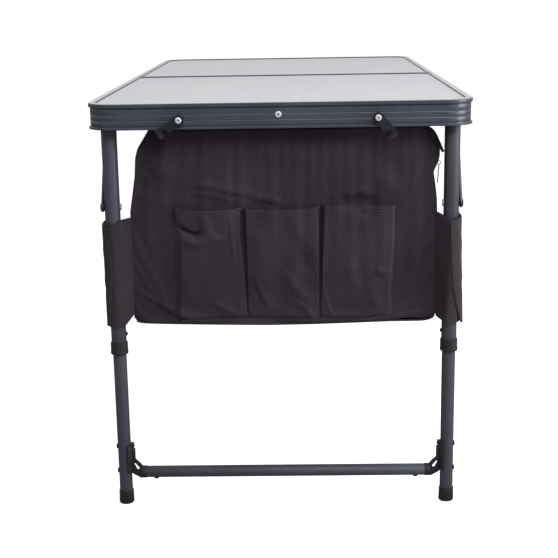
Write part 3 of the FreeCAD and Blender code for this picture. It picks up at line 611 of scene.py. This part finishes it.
# Folds of the end panel: line of (x, z), height towards the viewer, width, widening below (millimetres).
PANEL_FOLDS = (
    (((-157, 545), (-116, 540), (-76, 531), (-40, 524)), 4.4, 8.0, 0.45),
    (((-150, 530), (-110, 527), (-66, 514)), 2.6, 7.0, 0.6),
    (((-56, 523), (-22, 518), (8, 510)), 3.6, 7.0, 0.45),
    (((-238, 369), (-200, 347), (-164, 327)), 3.6, 5.0, 0.35),
    (((88, 506), (104, 511), (128, 514), (146, 511), (160, 504)), -4.4, 12.0, 1.2),
    (((92, 520), (124, 531), (152, 524)), 3.4, 7.0, 1.0),
    (((150, 550), (176, 540), (196, 515)), 5.0, 13.0, 1.3),
    (((230, 610), (212, 540), (219, 460), (214, 380)), 3.2, 10.0, 1.0),
    (((-214, 604), (-192, 566), (-146, 560)), 3.0, 14.0, 1.0),
    (((-66, 604), (40, 586), (124, 602)), 3.2, 20.0, 1.0),
    (((-226, 486), (-200, 420), (-212, 376)), 2.6, 10.0, 1.0),
    (((206, 474), (216, 400), (200, 345)), 2.6, 11.0, 1.0),
)


def puff(grid, front, fall=7 * MM, reach=34 * MM, bulge=2.0 * MM):
    """Rounds a panel back towards its side seams and lets its middle stand proud."""
    left, right = side_x(grid[..., 2])
    inward = np.minimum(grid[..., 0] - left, right - grid[..., 0])
    back = fall * (1 - smoothstep(inward / reach)) ** 1.4
    up = np.clip((grid[..., 2] - PUFF_FOOT_Z) / (ROOF_Z - PUFF_FOOT_Z), 0, 1)
    grid[..., 1] += front * (back - bulge * smoothstep(inward / 0.11) * np.sin(np.pi * up) ** 0.7)
    return grid


def end_panel():
    grid = puff(end_grid(FRONT_Y), 1)
    settled = drape(grid, edge_pins(grid), slack=0.010, gravity=0.5, cap=4 * MM)
    for fold in PANEL_FOLDS:
        crease(settled, *fold)
    along = np.clip((settled[0, :, 0] - SLIT_FROM) / (SLIT_TO - SLIT_FROM), 0, 1)
    rise = SLIT_RISE * np.clip(np.sin(np.pi * along), 0, 1) ** 0.6
    for r in range(6):
        settled[r, :, 2] += rise * (1 - r / 6)
    return settled


# Pockets. Each row is a height, then the X of: seam, front's left fold, front's right fold, right pleat's
# edge, seam; then how far the two folds and the pleat's edge stand off the panel (millimetres).
POCKETS = {
    "pocket_left": metres((
        (322.6, -168.4, -167.0, -59.5, -57.0, -56.6, 0.4, 0.4, 0.3),
        (329, -170.5, -166.2, -62.0, -57.2, -56.8, 5.4, 4.6, 2.6),
        (354, -171.5, -165.4, -67.0, -58.6, -57.4, 8.8, 7.8, 5.6),
        (391, -171.8, -163.8, -73.3, -61.2, -58.8, 11.4, 10.6, 8.2),
        (424, -171.7, -162.5, -76.0, -64.8, -60.0, 12.1, 12.0, 9.4),
        (451, -171.6, -161.2, -78.0, -68.0, -60.8, 12.8, 13.2, 10.4),
        (464, -171.8, -161.4, -78.6, -68.8, -61.2, 12.4, 13.8, 10.8),
        (474, -172.2, -163.2, -79.0, -69.2, -61.4, 10.6, 14.2, 11.0),
        (486, -173.2, -167.7, -79.6, -69.2, -61.6, 11.0, 14.6, 11.2),
        (503, -173.8, -170.4, -80.0, -67.6, -61.8, 13.4, 15.0, 11.0),
        (512, -173.8, -170.0, -80.0, -66.6, -61.8, 15.0, 15.0, 10.6),
    )),
    "pocket_middle": metres((
        (322.6, -57.0, -56.3, 58.8, 59.2, 59.6, 0.4, 0.4, 0.3),
        (330, -57.6, -56.3, 58.6, 59.2, 60.0, 4.2, 3.6, 1.8),
        (391, -58.6, -56.7, 58.0, 58.9, 60.8, 8.4, 8.2, 6.0),
        (451, -60.0, -56.8, 57.1, 58.2, 61.4, 11.4, 11.8, 9.0),
        (510, -61.4, -56.6, 56.4, 57.6, 61.8, 13.4, 14.0, 11.0),
    )),
    "pocket_right": metres((
        (322.6, 61.0, 61.6, 171.8, 173.6, 175.0, 0.4, 0.4, 0.3),
        (329, 60.8, 61.6, 171.6, 173.8, 175.6, 3.8, 4.2, 2.4),
        (380, 61.2, 63.4, 171.2, 174.2, 176.6, 8.2, 8.2, 5.0),
        (395, 61.4, 63.9, 172.4, 175.2, 177.2, 8.8, 9.6, 5.6),
        (415, 61.8, 64.7, 175.4, 178.0, 179.4, 9.6, 10.6, 6.2),
        (455, 62.4, 66.8, 176.6, 179.2, 181.0, 11.4, 12.0, 7.2),
        (512, 63.8, 69.8, 176.4, 179.4, 181.4, 13.4, 14.2, 8.6),
    )),
}
POCKET_MOUTHS = {
    "pocket_left": metres(((-175, 512.0), (-169, 513.8), (-161, 505.5), (-111, 505.5), (-78, 507.0),
                           (-62, 508.6))),
    "pocket_middle": metres(((-62, 506.3), (-18, 504.8), (37, 506.8), (63, 510.2))),
    "pocket_right": metres(((65, 510.6), (110, 509.6), (150, 508.6), (176, 509.2), (185, 507.4))),
}
POCKET_HEMS = {"pocket_left": (6.8, 9.8), "pocket_middle": (6.4, 9.2), "pocket_right": (8.4, 13.2)}
POCKET_FOLDS = {
    "pocket_left": (
        (((-170, 484), (-162, 474), (-150, 468), (-139, 463), (-131, 466), (-129, 478)), -8.4, 4.6, 0.6),
        (((-160, 459), (-150, 453), (-137, 450), (-113, 459), (-89, 461)), 5.8, 4.4, 1.5),
        (((-124, 498), (-119, 472), (-108, 462)), 2.4, 7.0, 1.0),
        (((-82, 503), (-80, 450), (-77, 404)), 1.5, 3.0, 1.0),
        (((-116, 352), (-92, 340), (-66, 326)), 3.0, 6.0, 1.0),
        (((-158, 410), (-148, 370), (-154, 340)), 1.8, 9.0, 1.0),
    ),
    "pocket_middle": (
        (((-40, 484), (-36, 430), (-30, 360)), 3.2, 13.0, 1.0),
        (((-6, 410), (24, 372), (52, 340)), 3.8, 9.0, 1.0),
        (((18, 356), (38, 340), (52, 324)), 3.0, 5.0, 1.0),
        (((6, 474), (30, 430), (48, 396)), -3.0, 12.0, 1.0),
    ),
    "pocket_right": (
        (((92, 474), (112, 430), (104, 380)), 2.8, 15.0, 1.0),
        (((132, 366), (120, 420), (96, 470)), -2.0, 10.0, 1.0),
        (((120, 500), (140, 493), (158, 500)), -2.2, 5.0, 1.0),
        (((146, 404), (164, 398), (178, 402)), 3.2, 5.0, 1.0),
        (((140, 382), (150, 350), (158, 330)), 2.2, 9.0, 1.0),
    ),
}
POCKET_PARTS = (9, 52, 10, 7)              # columns from each seam or fold to the next
POCKET_ROWS = 70
POCKET_LOW_Z = 0.3226
SEAM_GAP = 1.4 * MM


def height_on(panel, x, z):
    """The panel's depth at one place."""
    left, right = side_x(z)
    return sample(panel, (x - left) / (right - left), (z - low_z(x)) / (ROOF_Z - low_z(x)))[1]


def pocket_grid(panel, name):
    table, mouth = POCKETS[name], POCKET_MOUTHS[name]
    rows = []
    for v in np.linspace(0, 1, POCKET_ROWS):
        row = []
        z = POCKET_LOW_Z + (mouth[:, 1].mean() - POCKET_LOW_Z) * v
        values = [look_up(table, z, k) for k in range(1, 9)]
        xs, stands = values[:5], [0.0, *values[5:], 0.0]
        for part, count in enumerate(POCKET_PARTS):
            for t in np.linspace(0, 1, count, endpoint=part == len(POCKET_PARTS) - 1):
                bow = 0.0
                if part == 1:
                    bow = (1.4 * MM + 1.6 * MM * (1 - v)) * math.sin(math.pi * t) * min(1.0, 6 * v)
                x = xs[part] + (xs[part + 1] - xs[part]) * t
                stand = stands[part] + (stands[part + 1] - stands[part]) * t + bow
                top = look_up(mouth, x)
                at = POCKET_LOW_Z + (top - POCKET_LOW_Z) * v
                row.append((x, height_on(panel, x, at) - SEAM_GAP - stand, at))
        rows.append(row)
    return np.array(rows)


STITCH_LIFT = 0.9 * MM


def facing_normals(grid, facing):
    """Unit normals of a grid on the side that faces a direction."""
    normals = grid_normals(grid)
    if np.sum(normals * np.array(facing)) < 0:
        normals = -normals
    return normals


STITCH = dict(spacing=3.4 * MM, length=2.5 * MM, radius=0.40 * MM)


def line_on(grid, places, facing):
    """Points just outside a cloth, each at a share across and a share up its grid."""
    normals = facing_normals(grid, facing)
    return [sample(grid, u, v) + STITCH_LIFT * sample(normals, u, v) for u, v in places]


def level_line(grid, share, first=0.0, last=1.0, facing=FRONT):
    return line_on(grid, [(u, share) for u in np.linspace(first, last, 70)], facing)


def column_line(grid, share, first=0.0, last=1.0, facing=FRONT):
    return line_on(grid, [(share, v) for v in np.linspace(first, last, 70)], facing)


def hem_line(grid, below_top, first, last):
    """A line across a grid at a fixed distance below its top edge."""
    places, shares = [], np.linspace(0, 1, 40)
    for u in np.linspace(first, last, 70):
        column = [sample(grid, u, v)[2] for v in shares]
        places.append((u, np.interp(column[-1] - below_top, column, shares)))
    return line_on(grid, places, FRONT)


def sew(name, lines, facing=FRONT, slot="cupboard_fabric"):
    ride_root(beads(name + "_stitching", lines, "thread", outward=facing, **STITCH), slot=slot)


def build_pockets(panel):
    for name in POCKETS:
        grid = pocket_grid(panel, name)
        settled = drape(grid, edge_pins(grid, top=False), slack=0.006, gravity=0.3, cap=1.6 * MM)
        for fold in POCKET_FOLDS[name]:
            crease(settled, *fold)
        hem = max(POCKET_HEMS[name]) * MM
        folded = smoothstep((settled[..., 2] - (settled[-1:, :, 2] - hem)) / (1.0 * MM))
        settled[..., 1] -= 0.55 * MM * folded
        hang(name, settled, "pocket", name, slot="pocket_fabric")
        lines = [hem_line(settled, drop * MM, 0.10, 0.985) for drop in POCKET_HEMS[name]]
        lines += [column_line(settled, 0.012, 0.03, 0.98), column_line(settled, 0.988, 0.03, 0.98)]
        sew(name, lines, slot="pocket_fabric")


def build_pocket_hem(panel):
    """The strip below the pockets, sewn with two rows and bound at the bottom."""
    rows, cols, tall = 9, 96, 12.4 * MM
    grid = np.zeros((rows, cols, 3))
    for r, v in enumerate(np.linspace(0, 1, rows)):
        stand = 2.5 * MM + 0.7 * MM * math.sin(math.pi * v)
        for c, x in enumerate(np.linspace(*HEM_SIDES, cols)):
            z = low_z(x) - 0.6 * MM + tall * v
            grid[r, c] = (x, height_on(panel, x, max(z, low_z(x))) - stand, z)
    hang("pocket_hem", grid, "pocket", slot="pocket_fabric")
    lines = [level_line(grid, share, 0.004, 0.996) for share in (0.62, 0.93)]
    sew("pocket_hem", lines, slot="pocket_fabric")


def build_end_panels():
    front = end_panel()
    hang("end_panel", front, "cupboard", "cupboard_end_panel")
    floor_edge = [(x, FRONT_Y + 1.0 * MM, low_z(x) - 0.3 * MM) for x in np.linspace(*PIPING_SIDES, 120)]
    ride_root(swept("end_panel_piping", "binding",
                    strip(floor_edge, 1.5 * MM, 1.3 * MM, FRONT),
                    strip(front[:, 0], 1.0 * MM, 1.0 * MM, FRONT),
                    strip(front[:, -1], 1.0 * MM, 1.0 * MM, FRONT)))
    band = [level_line(front, 0.030, 0.02, 0.15), level_line(front, 0.040, 0.86, 0.985)]
    sew("end_panel", band)
    build_pockets(front)
    build_pocket_hem(front)

    back = puff(end_grid(BACK_Y, 60, 80), -1)
    settled = drape(back, edge_pins(back), slack=0.015, gravity=0.8, cap=6 * MM)
    flipped = settled[:, ::-1]
    hang("inner_panel", flipped, "cupboard", "cupboard_inner_panel")
    outline = np.vstack([flipped[:0:-1, 0], flipped[0], flipped[1:, -1]])
    ride_root(swept("inner_panel_piping", "binding", strip(outline, 1.1 * MM, 1.1 * MM, REAR)))
    lines = [level_line(flipped, 0.03, 0.02, 0.98, REAR)]
    lines += [column_line(flipped, share, 0.02, 0.98, REAR) for share in (0.02, 0.98)]
    sew("inner_panel", lines, REAR)


PUFF_BACK = 7 * MM


def side_grid(side, rows=76, cols=100):
    """One long wall between the two ends; side is 0 for left and 1 for right."""
    grid = np.zeros((rows, cols, 3))
    ys = np.linspace(FRONT_Y + PUFF_BACK, BACK_Y - PUFF_BACK, cols)
    heights = np.linspace(WALL_FOOT_Z, ROOF_Z, rows)[:, None]
    grid[..., 0] = side_x(heights)[side]
    grid[..., 1] = ys if side else ys[::-1]
    grid[..., 2] = heights
    return grid


# The zipped wall where it bellies out under the roof, near the front corner: height, X (millimetres).
DOOR_BELLY = metres(((546, 243.4), (556, 243.2), (561, 245.2), (566, 248.0), (575, 251.9), (585, 252.9),
                     (592, 252.7), (600, 250.7), (607, 247.8), (613, 244.8), (623, 240.6), (631, 234.0)))


def build_walls():
    walls = []
    for side, name in enumerate(("side_wall", "zip_door")):
        grid = side_grid(side)
        outer = grid[..., 0].copy()
        settled = drape(grid, edge_pins(grid), slack=0.014, gravity=0.8, cap=6 * MM)
        sign = 1 if side else -1
        shift = np.clip((settled[..., 0] - outer) * sign, -6 * MM, 1.2 * MM)
        settled[..., 0] = outer + sign * shift
        if side:
            back = settled[..., 1] - FRONT_Y - PUFF_BACK
            belly = smoothstep(back / 0.012 + 0.05) * (1 - 0.6 * smoothstep((back - 0.05) / 0.2))
            belly *= settled[..., 2] > DOOR_BELLY[0, 0]
            reach = look_up(DOOR_BELLY, settled[..., 2])
            settled[..., 0] += belly * (reach - settled[..., 0])
        hang(name, settled, "cupboard", "cupboard_" + name)
        walls.append(settled)
    return walls


def build_floor_and_roof():
    for name, sag, sides in (("floor", 4 * MM, FLOOR_SIDES), ("roof", 5 * MM, side_x(ROOF_Z))):
        grid = np.zeros((54, 66, 3))
        grid[..., 0] = np.linspace(*sides, 66)
        grid[..., 1] = np.linspace(FRONT_Y + 1 * MM, BACK_Y - 1 * MM, 54)[:, None]
        grid[..., 2] = ROOF_Z if name == "roof" else low_z(grid[..., 0])
        settled = drape(grid, edge_pins(grid), slack=0.01, gravity=1.0, cap=sag)
        settled[..., 2] = np.minimum(settled[..., 2], grid[..., 2] + 0.2 * MM)
        settled = settled if name == "roof" else settled[:, ::-1]
        hang("cupboard_" + name, settled, "cupboard", "cupboard_" + name)
    low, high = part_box("cupboard_shelf")
    grid = np.zeros((40, 40, 3))
    grid[..., 0], grid[..., 1] = np.meshgrid(np.linspace(low.x + 3 * MM, high.x - 3 * MM, 40),
                                             np.linspace(low.y, high.y, 40))
    dip = np.sin(np.pi * np.linspace(0, 1, 40))
    grid[..., 2] = (low.z + high.z) / 2 - 2 * MM * np.outer(dip, dip)
    hang("shelf", grid, "cupboard", "cupboard_shelf", thickness=2.6 * MM)


# Leg wraps in plan, from the seam beside the end panel, round the leg's front, to the open back.
WRAP_LEFT = ((240.4, -562.5), (245.6, -567.6), (253.2, -575.4), (261.2, -581.8), (270.4, -585.6),
             (279.6, -583.2), (285.2, -576.4), (286.4, -565), (286.2, -545), (285.6, -516))
WRAP_RIGHT = ((245.4, -562.5), (251.0, -569.6), (259.6, -580.2), (268.4, -589.4), (276.8, -587.0),
              (284.0, -581.0), (286.4, -570), (286.6, -550), (286.2, -530), (285.6, -516))
WRAP_TOP = metres(((243, 489.5), (256, 488.5), (262, 483.5), (279, 482.5), (286, 481.5), (292, 481.5)))
WRAP_TOP_RIGHT = metres(((247, 493.5), (256, 490.5), (267, 480), (276, 483.5), (284, 486), (292, 486)))
WRAP_LOW = metres(((243, 332), (249, 325), (255, 318), (259, 314), (281, 314), (286, 316.5), (292, 317)))
WRAP_LOW_RIGHT = metres(((247, 329), (250.5, 322), (256.5, 319), (263, 317.6), (280, 316.8), (292, 315.6)))
# How far the right wrap's ridge shifts sideways: height, shift (millimetres).
RIDGE_SHIFT = metres(((318, -5.6), (367, -2.8), (415, 0.0), (490, 0.0)))
RIDGE_X, RIDGE_WIDTH = 0.2684, 0.007
WRAP_FOOT_Z, WRAP_TALL = 0.318, 0.170
WRAP_SPANS = 64


def wrap_grid(side):
    plan, top, low = WRAP_LEFT, WRAP_TOP, WRAP_LOW
    if side > 0:
        plan, top, low = WRAP_RIGHT, WRAP_TOP_RIGHT, WRAP_LOW_RIGHT
    grid = np.zeros((WRAP_SPANS, WRAP_SPANS, 3))
    for r, v in enumerate(np.linspace(0, 1, WRAP_SPANS)):
        points = metres(plan)
        if side > 0:
            z = WRAP_FOOT_Z + WRAP_TALL * v
            near_ridge = np.exp(-((points[:, 0] - RIDGE_X) / RIDGE_WIDTH) ** 2)
            points[:, 0] += look_up(RIDGE_SHIFT, z) * near_ridge
        curve = smooth_curve(points, WRAP_SPANS)
        upper, lower = look_up(top, curve[:, 0]), look_up(low, curve[:, 0])
        outer = (curve[:, 1] > -0.566) & (curve[:, 0] > 0.27)
        upper[outer], lower[outer] = top[-1, 1], low[-1, 1]
        grid[r, :, 0], grid[r, :, 1] = curve[:, 0] * side, curve[:, 1]
        grid[r, :, 2] = lower + (upper - lower) * v
    return grid


def ripple(grid, facing, amount, seed):
    """Small irregular buckles, fading at the edges."""
    rows, cols = grid.shape[:2]
    local = np.random.default_rng(seed)
    height = np.zeros((rows, cols))
    r, c = np.meshgrid(np.linspace(0, 1, rows), np.linspace(0, 1, cols), indexing="ij")
    for _ in range(5):
        wave_r, wave_c, phase = local.uniform(2, 7), local.uniform(0.5, 2.5), local.uniform(0, 6.28)
        height += np.sin(2 * math.pi * (wave_r * r + wave_c * c) + phase) / 5
    fade = np.sin(np.pi * r) ** 0.5 * np.sin(np.pi * c) ** 0.5
    return grid + facing_normals(grid, facing) * (amount * height * fade)[..., None]


# The closing flap of each wrap: height, X of its free edge, X of its outer fold, Y of its free edge
# (millimetres).
FLAP_LEFT = metres(((315, 281.5, 287.2, -583.6), (330, 280.2, 287.2, -584.4), (357, 278.2, 287.0, -585.6),
                    (384, 275.6, 287.0, -586.6), (406, 274.4, 287.0, -587.0), (432, 274.8, 287.2, -587.0),
                    (454, 277.4, 287.4, -586.0), (470, 280.4, 287.6, -584.4), (484, 283.4, 287.8, -581.6)))
FLAP_RIGHT = metres(((315, 287.5, 291.4, -583.3), (321, 286.2, 291.2, -583.9), (336, 281.6, 290.6, -586.0),
                     (354, 277.0, 289.9, -588.1), (385, 272.7, 288.8, -590.0), (418, 269.9, 287.8, -591.2),
                     (455, 268.4, 286.8, -591.2), (490, 268.2, 286.2, -591.2)))
FLAP_LOW, FLAP_TALL = 0.3150, 0.168


def flap_grid(table, rise):
    """A wrap's closing flap: it comes round the leg's outer side, and its free edge curves away below."""
    grid = np.zeros((60, 40, 3))
    for r, v in enumerate(np.linspace(0, 1, 60)):
        z = FLAP_LOW + FLAP_TALL * v
        front, outer, ridge_y = (look_up(table, z, k) for k in (1, 2, 3))
        middle = (front + outer) / 2
        points = ((front, ridge_y), (front + 0.3 * (outer - front), ridge_y + 0.9 * MM),
                  (middle + 0.25 * (outer - front), ridge_y + 3.6 * MM),
                  (outer - 0.4 * MM, max(ridge_y + 6 * MM, -0.5790)), (outer + 0.5 * MM, -0.566),
                  (outer + 0.3 * MM, -0.546), (outer - 1.2 * MM, -0.524))
        curve = smooth_curve(points, 40)
        grid[r, :, :2] = curve
        lean = smoothstep((curve[:, 0] - 0.268) / 0.018)
        grid[r, :, 2] = z + rise * (2.0 + 4.0 * v) * MM * lean * v
    return grid


def build_wraps():
    for side, name in ((-1, "leg_wrap_left"), (1, "leg_wrap_right")):
        facing = (side, -1, 0)
        grid = ripple(wrap_grid(side), facing, 0.8 * MM, 11 + side)
        if side < 0:
            grid = grid[:, ::-1]
        hang(name, grid, "wrap", name)
        sew(name, [level_line(grid, share, facing=facing) for share in (0.965, 0.035)], facing)
        edges = [strip(grid[r], 1.0 * MM, 1.5 * MM, (0, 0, 1)) for r in (-1, 0)]
        ride_root(swept(name + "_binding", "binding", *edges))
    # The right flap uses the lighter copy of the wrap cloth, with light from the right painted into its
    # colour.
    flaps = ((-1, "left", FLAP_LEFT, 0.0, "wrap"), (1, "right", FLAP_RIGHT, 1.0, "wrap_lit"))
    for side, end, table, rise, cloth in flaps:
        name = "leg_wrap_flap_" + end
        facing = (side, -1, 0)
        flap = flap_grid(table, rise)
        flap[..., 0] *= side
        flap = ripple(flap, facing, 0.6 * MM, 5)
        edge = np.vstack([flap[:0:-1, 0], flap[0]])
        lines = [column_line(flap, 0.10, facing=facing), level_line(flap, 0.97, facing=facing)]
        shown = flap if side > 0 else flap[:, ::-1]
        hang(name, shown, cloth)
        ride_root(swept(name + "_binding", "binding", strip(edge, 0.7 * MM, 1.1 * MM, facing)))
        sew(name, lines, facing)


# Centre line of the strap that ties the cupboard's top corner to the leg (millimetres).
CORNER_STRAP = ((228, -568, 629.0), (236.5, -567, 626.4), (243.2, -566, 618.6), (248.6, -565.5, 607.6),
                (253.2, -565.5, 597.4), (256.9, -566, 589.6))


def build_straps():
    """Webbing tabs that hang the cupboard from the stiffeners, and the strap at its top corner."""
    low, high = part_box("hanging_straps")
    straps = []
    for x in (low.x + 1 * MM, high.x - 1 * MM):
        for y in (low.y + 12.5 * MM, high.y - 12.5 * MM):
            heights = np.linspace(ROOF_Z, high.z, 24)
            bow = 1.6 * MM * np.sin(np.linspace(0, math.pi, 24))
            path = [(x + b, y, z) for b, z in zip(bow, heights)]
            straps.append(strip(path, 12.0 * MM, 0.8 * MM, RIGHT, 16))
    straps.append(strip(smooth_curve(metres(CORNER_STRAP), 40), 2.4 * MM, 0.8 * MM, FRONT, 16))
    ride_root(swept("webbing_tabs", "webbing", *straps), "hanging_straps", slot="webbing")


def door_x(door, y, z):
    """The zipped wall's X at one place."""
    u = (y - door[0, 0, 1]) / (door[0, -1, 1] - door[0, 0, 1])
    v = (z - door[0, 0, 2]) / (door[-1, 0, 2] - door[0, 0, 2])
    return sample(door, u, v)[0]


TEETH = dict(spacing=1.5 * MM, length=1.1 * MM, radius=2.1 * MM)


def build_zip(door):
    low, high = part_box("zip_track")
    near, far = low.y + 4 * MM, high.y - 4 * MM
    foot, corner = low.z + 4 * MM, 18 * MM
    angles = np.linspace(0.1, math.pi / 2, 10)
    bend = [(corner * (1 - math.cos(a)), corner * (1 - math.sin(a))) for a in angles]
    track = [(near, z) for z in np.linspace(high.z, foot + corner, 60)]
    track += [(near + across, foot + up) for across, up in bend]
    track += [(y, foot) for y in np.linspace(near + corner + 4 * MM, far - corner, 60)]
    track += [(far - up, foot + across) for across, up in bend]
    track += [(far, z) for z in np.linspace(foot + corner + 4 * MM, high.z, 60)]
    path = [(door_x(door, y, z) + 1.1 * MM, y, z) for y, z in track]
    tape = swept("zip_tape", "binding", strip(path, 9 * MM, 0.5 * MM, RIGHT, 12))
    ride_root(tape, "zip_track", slot="zip_tape")
    coil_path = [(x + 0.5 * MM, y, z) for x, y, z in path]
    ride_root(beads("zip_coil", [coil_path], "zip_coil", outward=RIGHT, **TEETH), slot="zip_tape")


def ride_zip(piece):
    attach(piece, "zip")


SLIDER_WIDTHS = (0.55, 0.85, 1.0, 1.0, 0.92, 0.86, 0.9, 0.8, 0.5)      # down the slider's body
# Pull loop and cord of the zip: X, height and, for the loop, radius (millimetres).
PULL_RING = (254.3, 568.6, 2.8)
PULL_CORD = ((254.1, 565.7), (253.5, 556.8), (252.8, 546.8), (252.0, 535.2))


def build_slider():
    """Slider body, wire ring and a looped cord."""
    low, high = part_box("zip_slider")
    x, y, top = low.x + 1.9 * MM, (low.y + high.y) / 2, high.z
    spine, sides = [(x, y, z) for z in np.linspace(top, top - 15 * MM, len(SLIDER_WIDTHS))], 14
    body = swept("zip_slider_body", "zip_coil", strip(spine, 4.2 * MM, 1.1 * MM, RIGHT, sides))
    for r, share in enumerate(SLIDER_WIDTHS):
        for k in range(sides):
            place = body.data.vertices[r * sides + k].co
            place.y = y + (place.y - y) * share
            place.x = x + (place.x - x) * (0.6 + 0.4 * share)
    ride_zip(body)
    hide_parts("zip_slider")
    ring_x, ring_z, radius = (v * MM for v in PULL_RING)
    turn = math.radians(35)
    circle = [(ring_x + radius * math.cos(a) * math.cos(turn), y - radius * math.cos(a) * math.sin(turn),
               ring_z + radius * math.sin(a)) for a in np.linspace(0, 2 * math.pi, 30, endpoint=False)]
    wire = strip(circle, 0.55 * MM, 0.55 * MM, (1, 1, 0), 8, closed=True)
    ride_zip(swept("zip_pull_ring", "zip_coil", wire))
    for number, shift in enumerate((-0.8, 0.8)):
        points = [(cx * MM + 0.3 * shift * MM, y + shift * MM, cz * MM) for cx, cz in PULL_CORD]
        cord = strip(smooth_curve(points, 26), 0.7 * MM, 0.7 * MM, RIGHT, 8)
        ride_zip(swept(f"zip_cord_{number}", "cord", cord))


# ---------------- stage

WHITE = (1.0, 1.0, 1.0, 1.0)
SKY_STRENGTH = 0.15
SKY_MIRRORED = 0.7                          # the same sky as the glossy parts see it
FLOOR_GLOW = 0.86                           # lifts the floor to white without lighting the table
FLOOR_HALF = 30.0
LAMPS = (
    # name, place, aim, size, watts
    ("key", (1.0, -2.5, 2.6), (0, -0.4, 0.45), 1.0, 30),
    ("front", (0.3, -2.1, 2.2), (0.1, -0.5, 0.4), 1.0, 13),
    ("side", (1.5, -0.95, 0.85), (0.25, -0.5, 0.4), 0.6, 13),
    ("top", (0.0, 0.6, 3.2), (0, 0, 0.6), 2.6, 37),
)


def mix_value(tree, factor, a, b):
    return math_node(tree, "MULTIPLY_ADD", factor, b - a, a)


def build_stage():
    paper, tree, shader, place = new_material("studio_floor")
    cloud = noise(tree, place, 0.8, 3.0)
    seen = node(tree, "ShaderNodeLightPath").outputs["Is Camera Ray"]
    pale = mix_color(tree, cloud, rgb(232, 232, 233), rgb(238, 238, 238))
    drive(tree, shader, color=mix_color(tree, seen, rgb(188, 188, 189), pale), roughness=0.85, specular=0.1)
    glow = mix_value(tree, seen, 0.0, FLOOR_GLOW)
    feed(tree, shader, {"Emission Color": WHITE, "Emission Strength": glow})
    mesh = bpy.data.meshes.new("studio_floor")
    mesh.from_pydata([(x * FLOOR_HALF, y * FLOOR_HALF, 0) for x, y in ((-1, -1), (1, -1), (1, 1), (-1, 1))],
                     [], [(0, 1, 2, 3)])
    mesh.materials.append(paper)
    add_object("studio_floor", mesh)

    world = bpy.data.worlds.new("studio")
    bpy.context.scene.world = world
    world.use_nodes = True
    tree = world.node_tree
    rays = node(tree, "ShaderNodeLightPath").outputs
    mirrored = mix_value(tree, rays["Is Glossy Ray"], SKY_STRENGTH, SKY_MIRRORED)
    strength = math_node(tree, "MAXIMUM", mirrored, rays["Is Camera Ray"])
    feed(tree, tree.nodes["Background"], {"Color": WHITE, "Strength": strength})
    for name, place, target, size, power in LAMPS:
        rig = add_object(name, adjust(bpy.data.lights.new(name, "AREA"), size=size, energy=power))
        rig.location = place
        rig.rotation_euler = (Vector(target) - Vector(place)).to_track_quat("-Z", "Y").to_euler()
        rig.visible_camera = False


CAMERA_PLACE = (0.0315, -2.4279, 0.8430)
CAMERA_YAW, CAMERA_PITCH, CAMERA_ROLL = -1.149, -13.784, -0.9515    # degrees
CAMERA_LENS, CAMERA_SENSOR = 76.14, 36.0                             # millimetres


def build_camera():
    lens = adjust(bpy.data.cameras.new("camera"), lens=CAMERA_LENS, sensor_width=CAMERA_SENSOR)
    camera = add_object("camera", lens)
    yaw, pitch, roll = (math.radians(v) for v in (CAMERA_YAW, CAMERA_PITCH, CAMERA_ROLL))
    camera.matrix_world = (Matrix.Translation(CAMERA_PLACE) @ Matrix.Rotation(-yaw, 4, "Z")
                           @ Matrix.Rotation(math.pi / 2 + pitch, 4, "X") @ Matrix.Rotation(roll, 4, "Z"))
    bpy.context.scene.camera = camera
    bpy.context.scene.view_settings.view_transform = "Standard"


dress_cad_nodes()
build_end_panels()
walls = build_walls()
build_floor_and_roof()
build_wraps()
build_straps()
build_zip(walls[1])
build_slider()
build_stage()
build_camera()

bpy.context.view_layer.update()
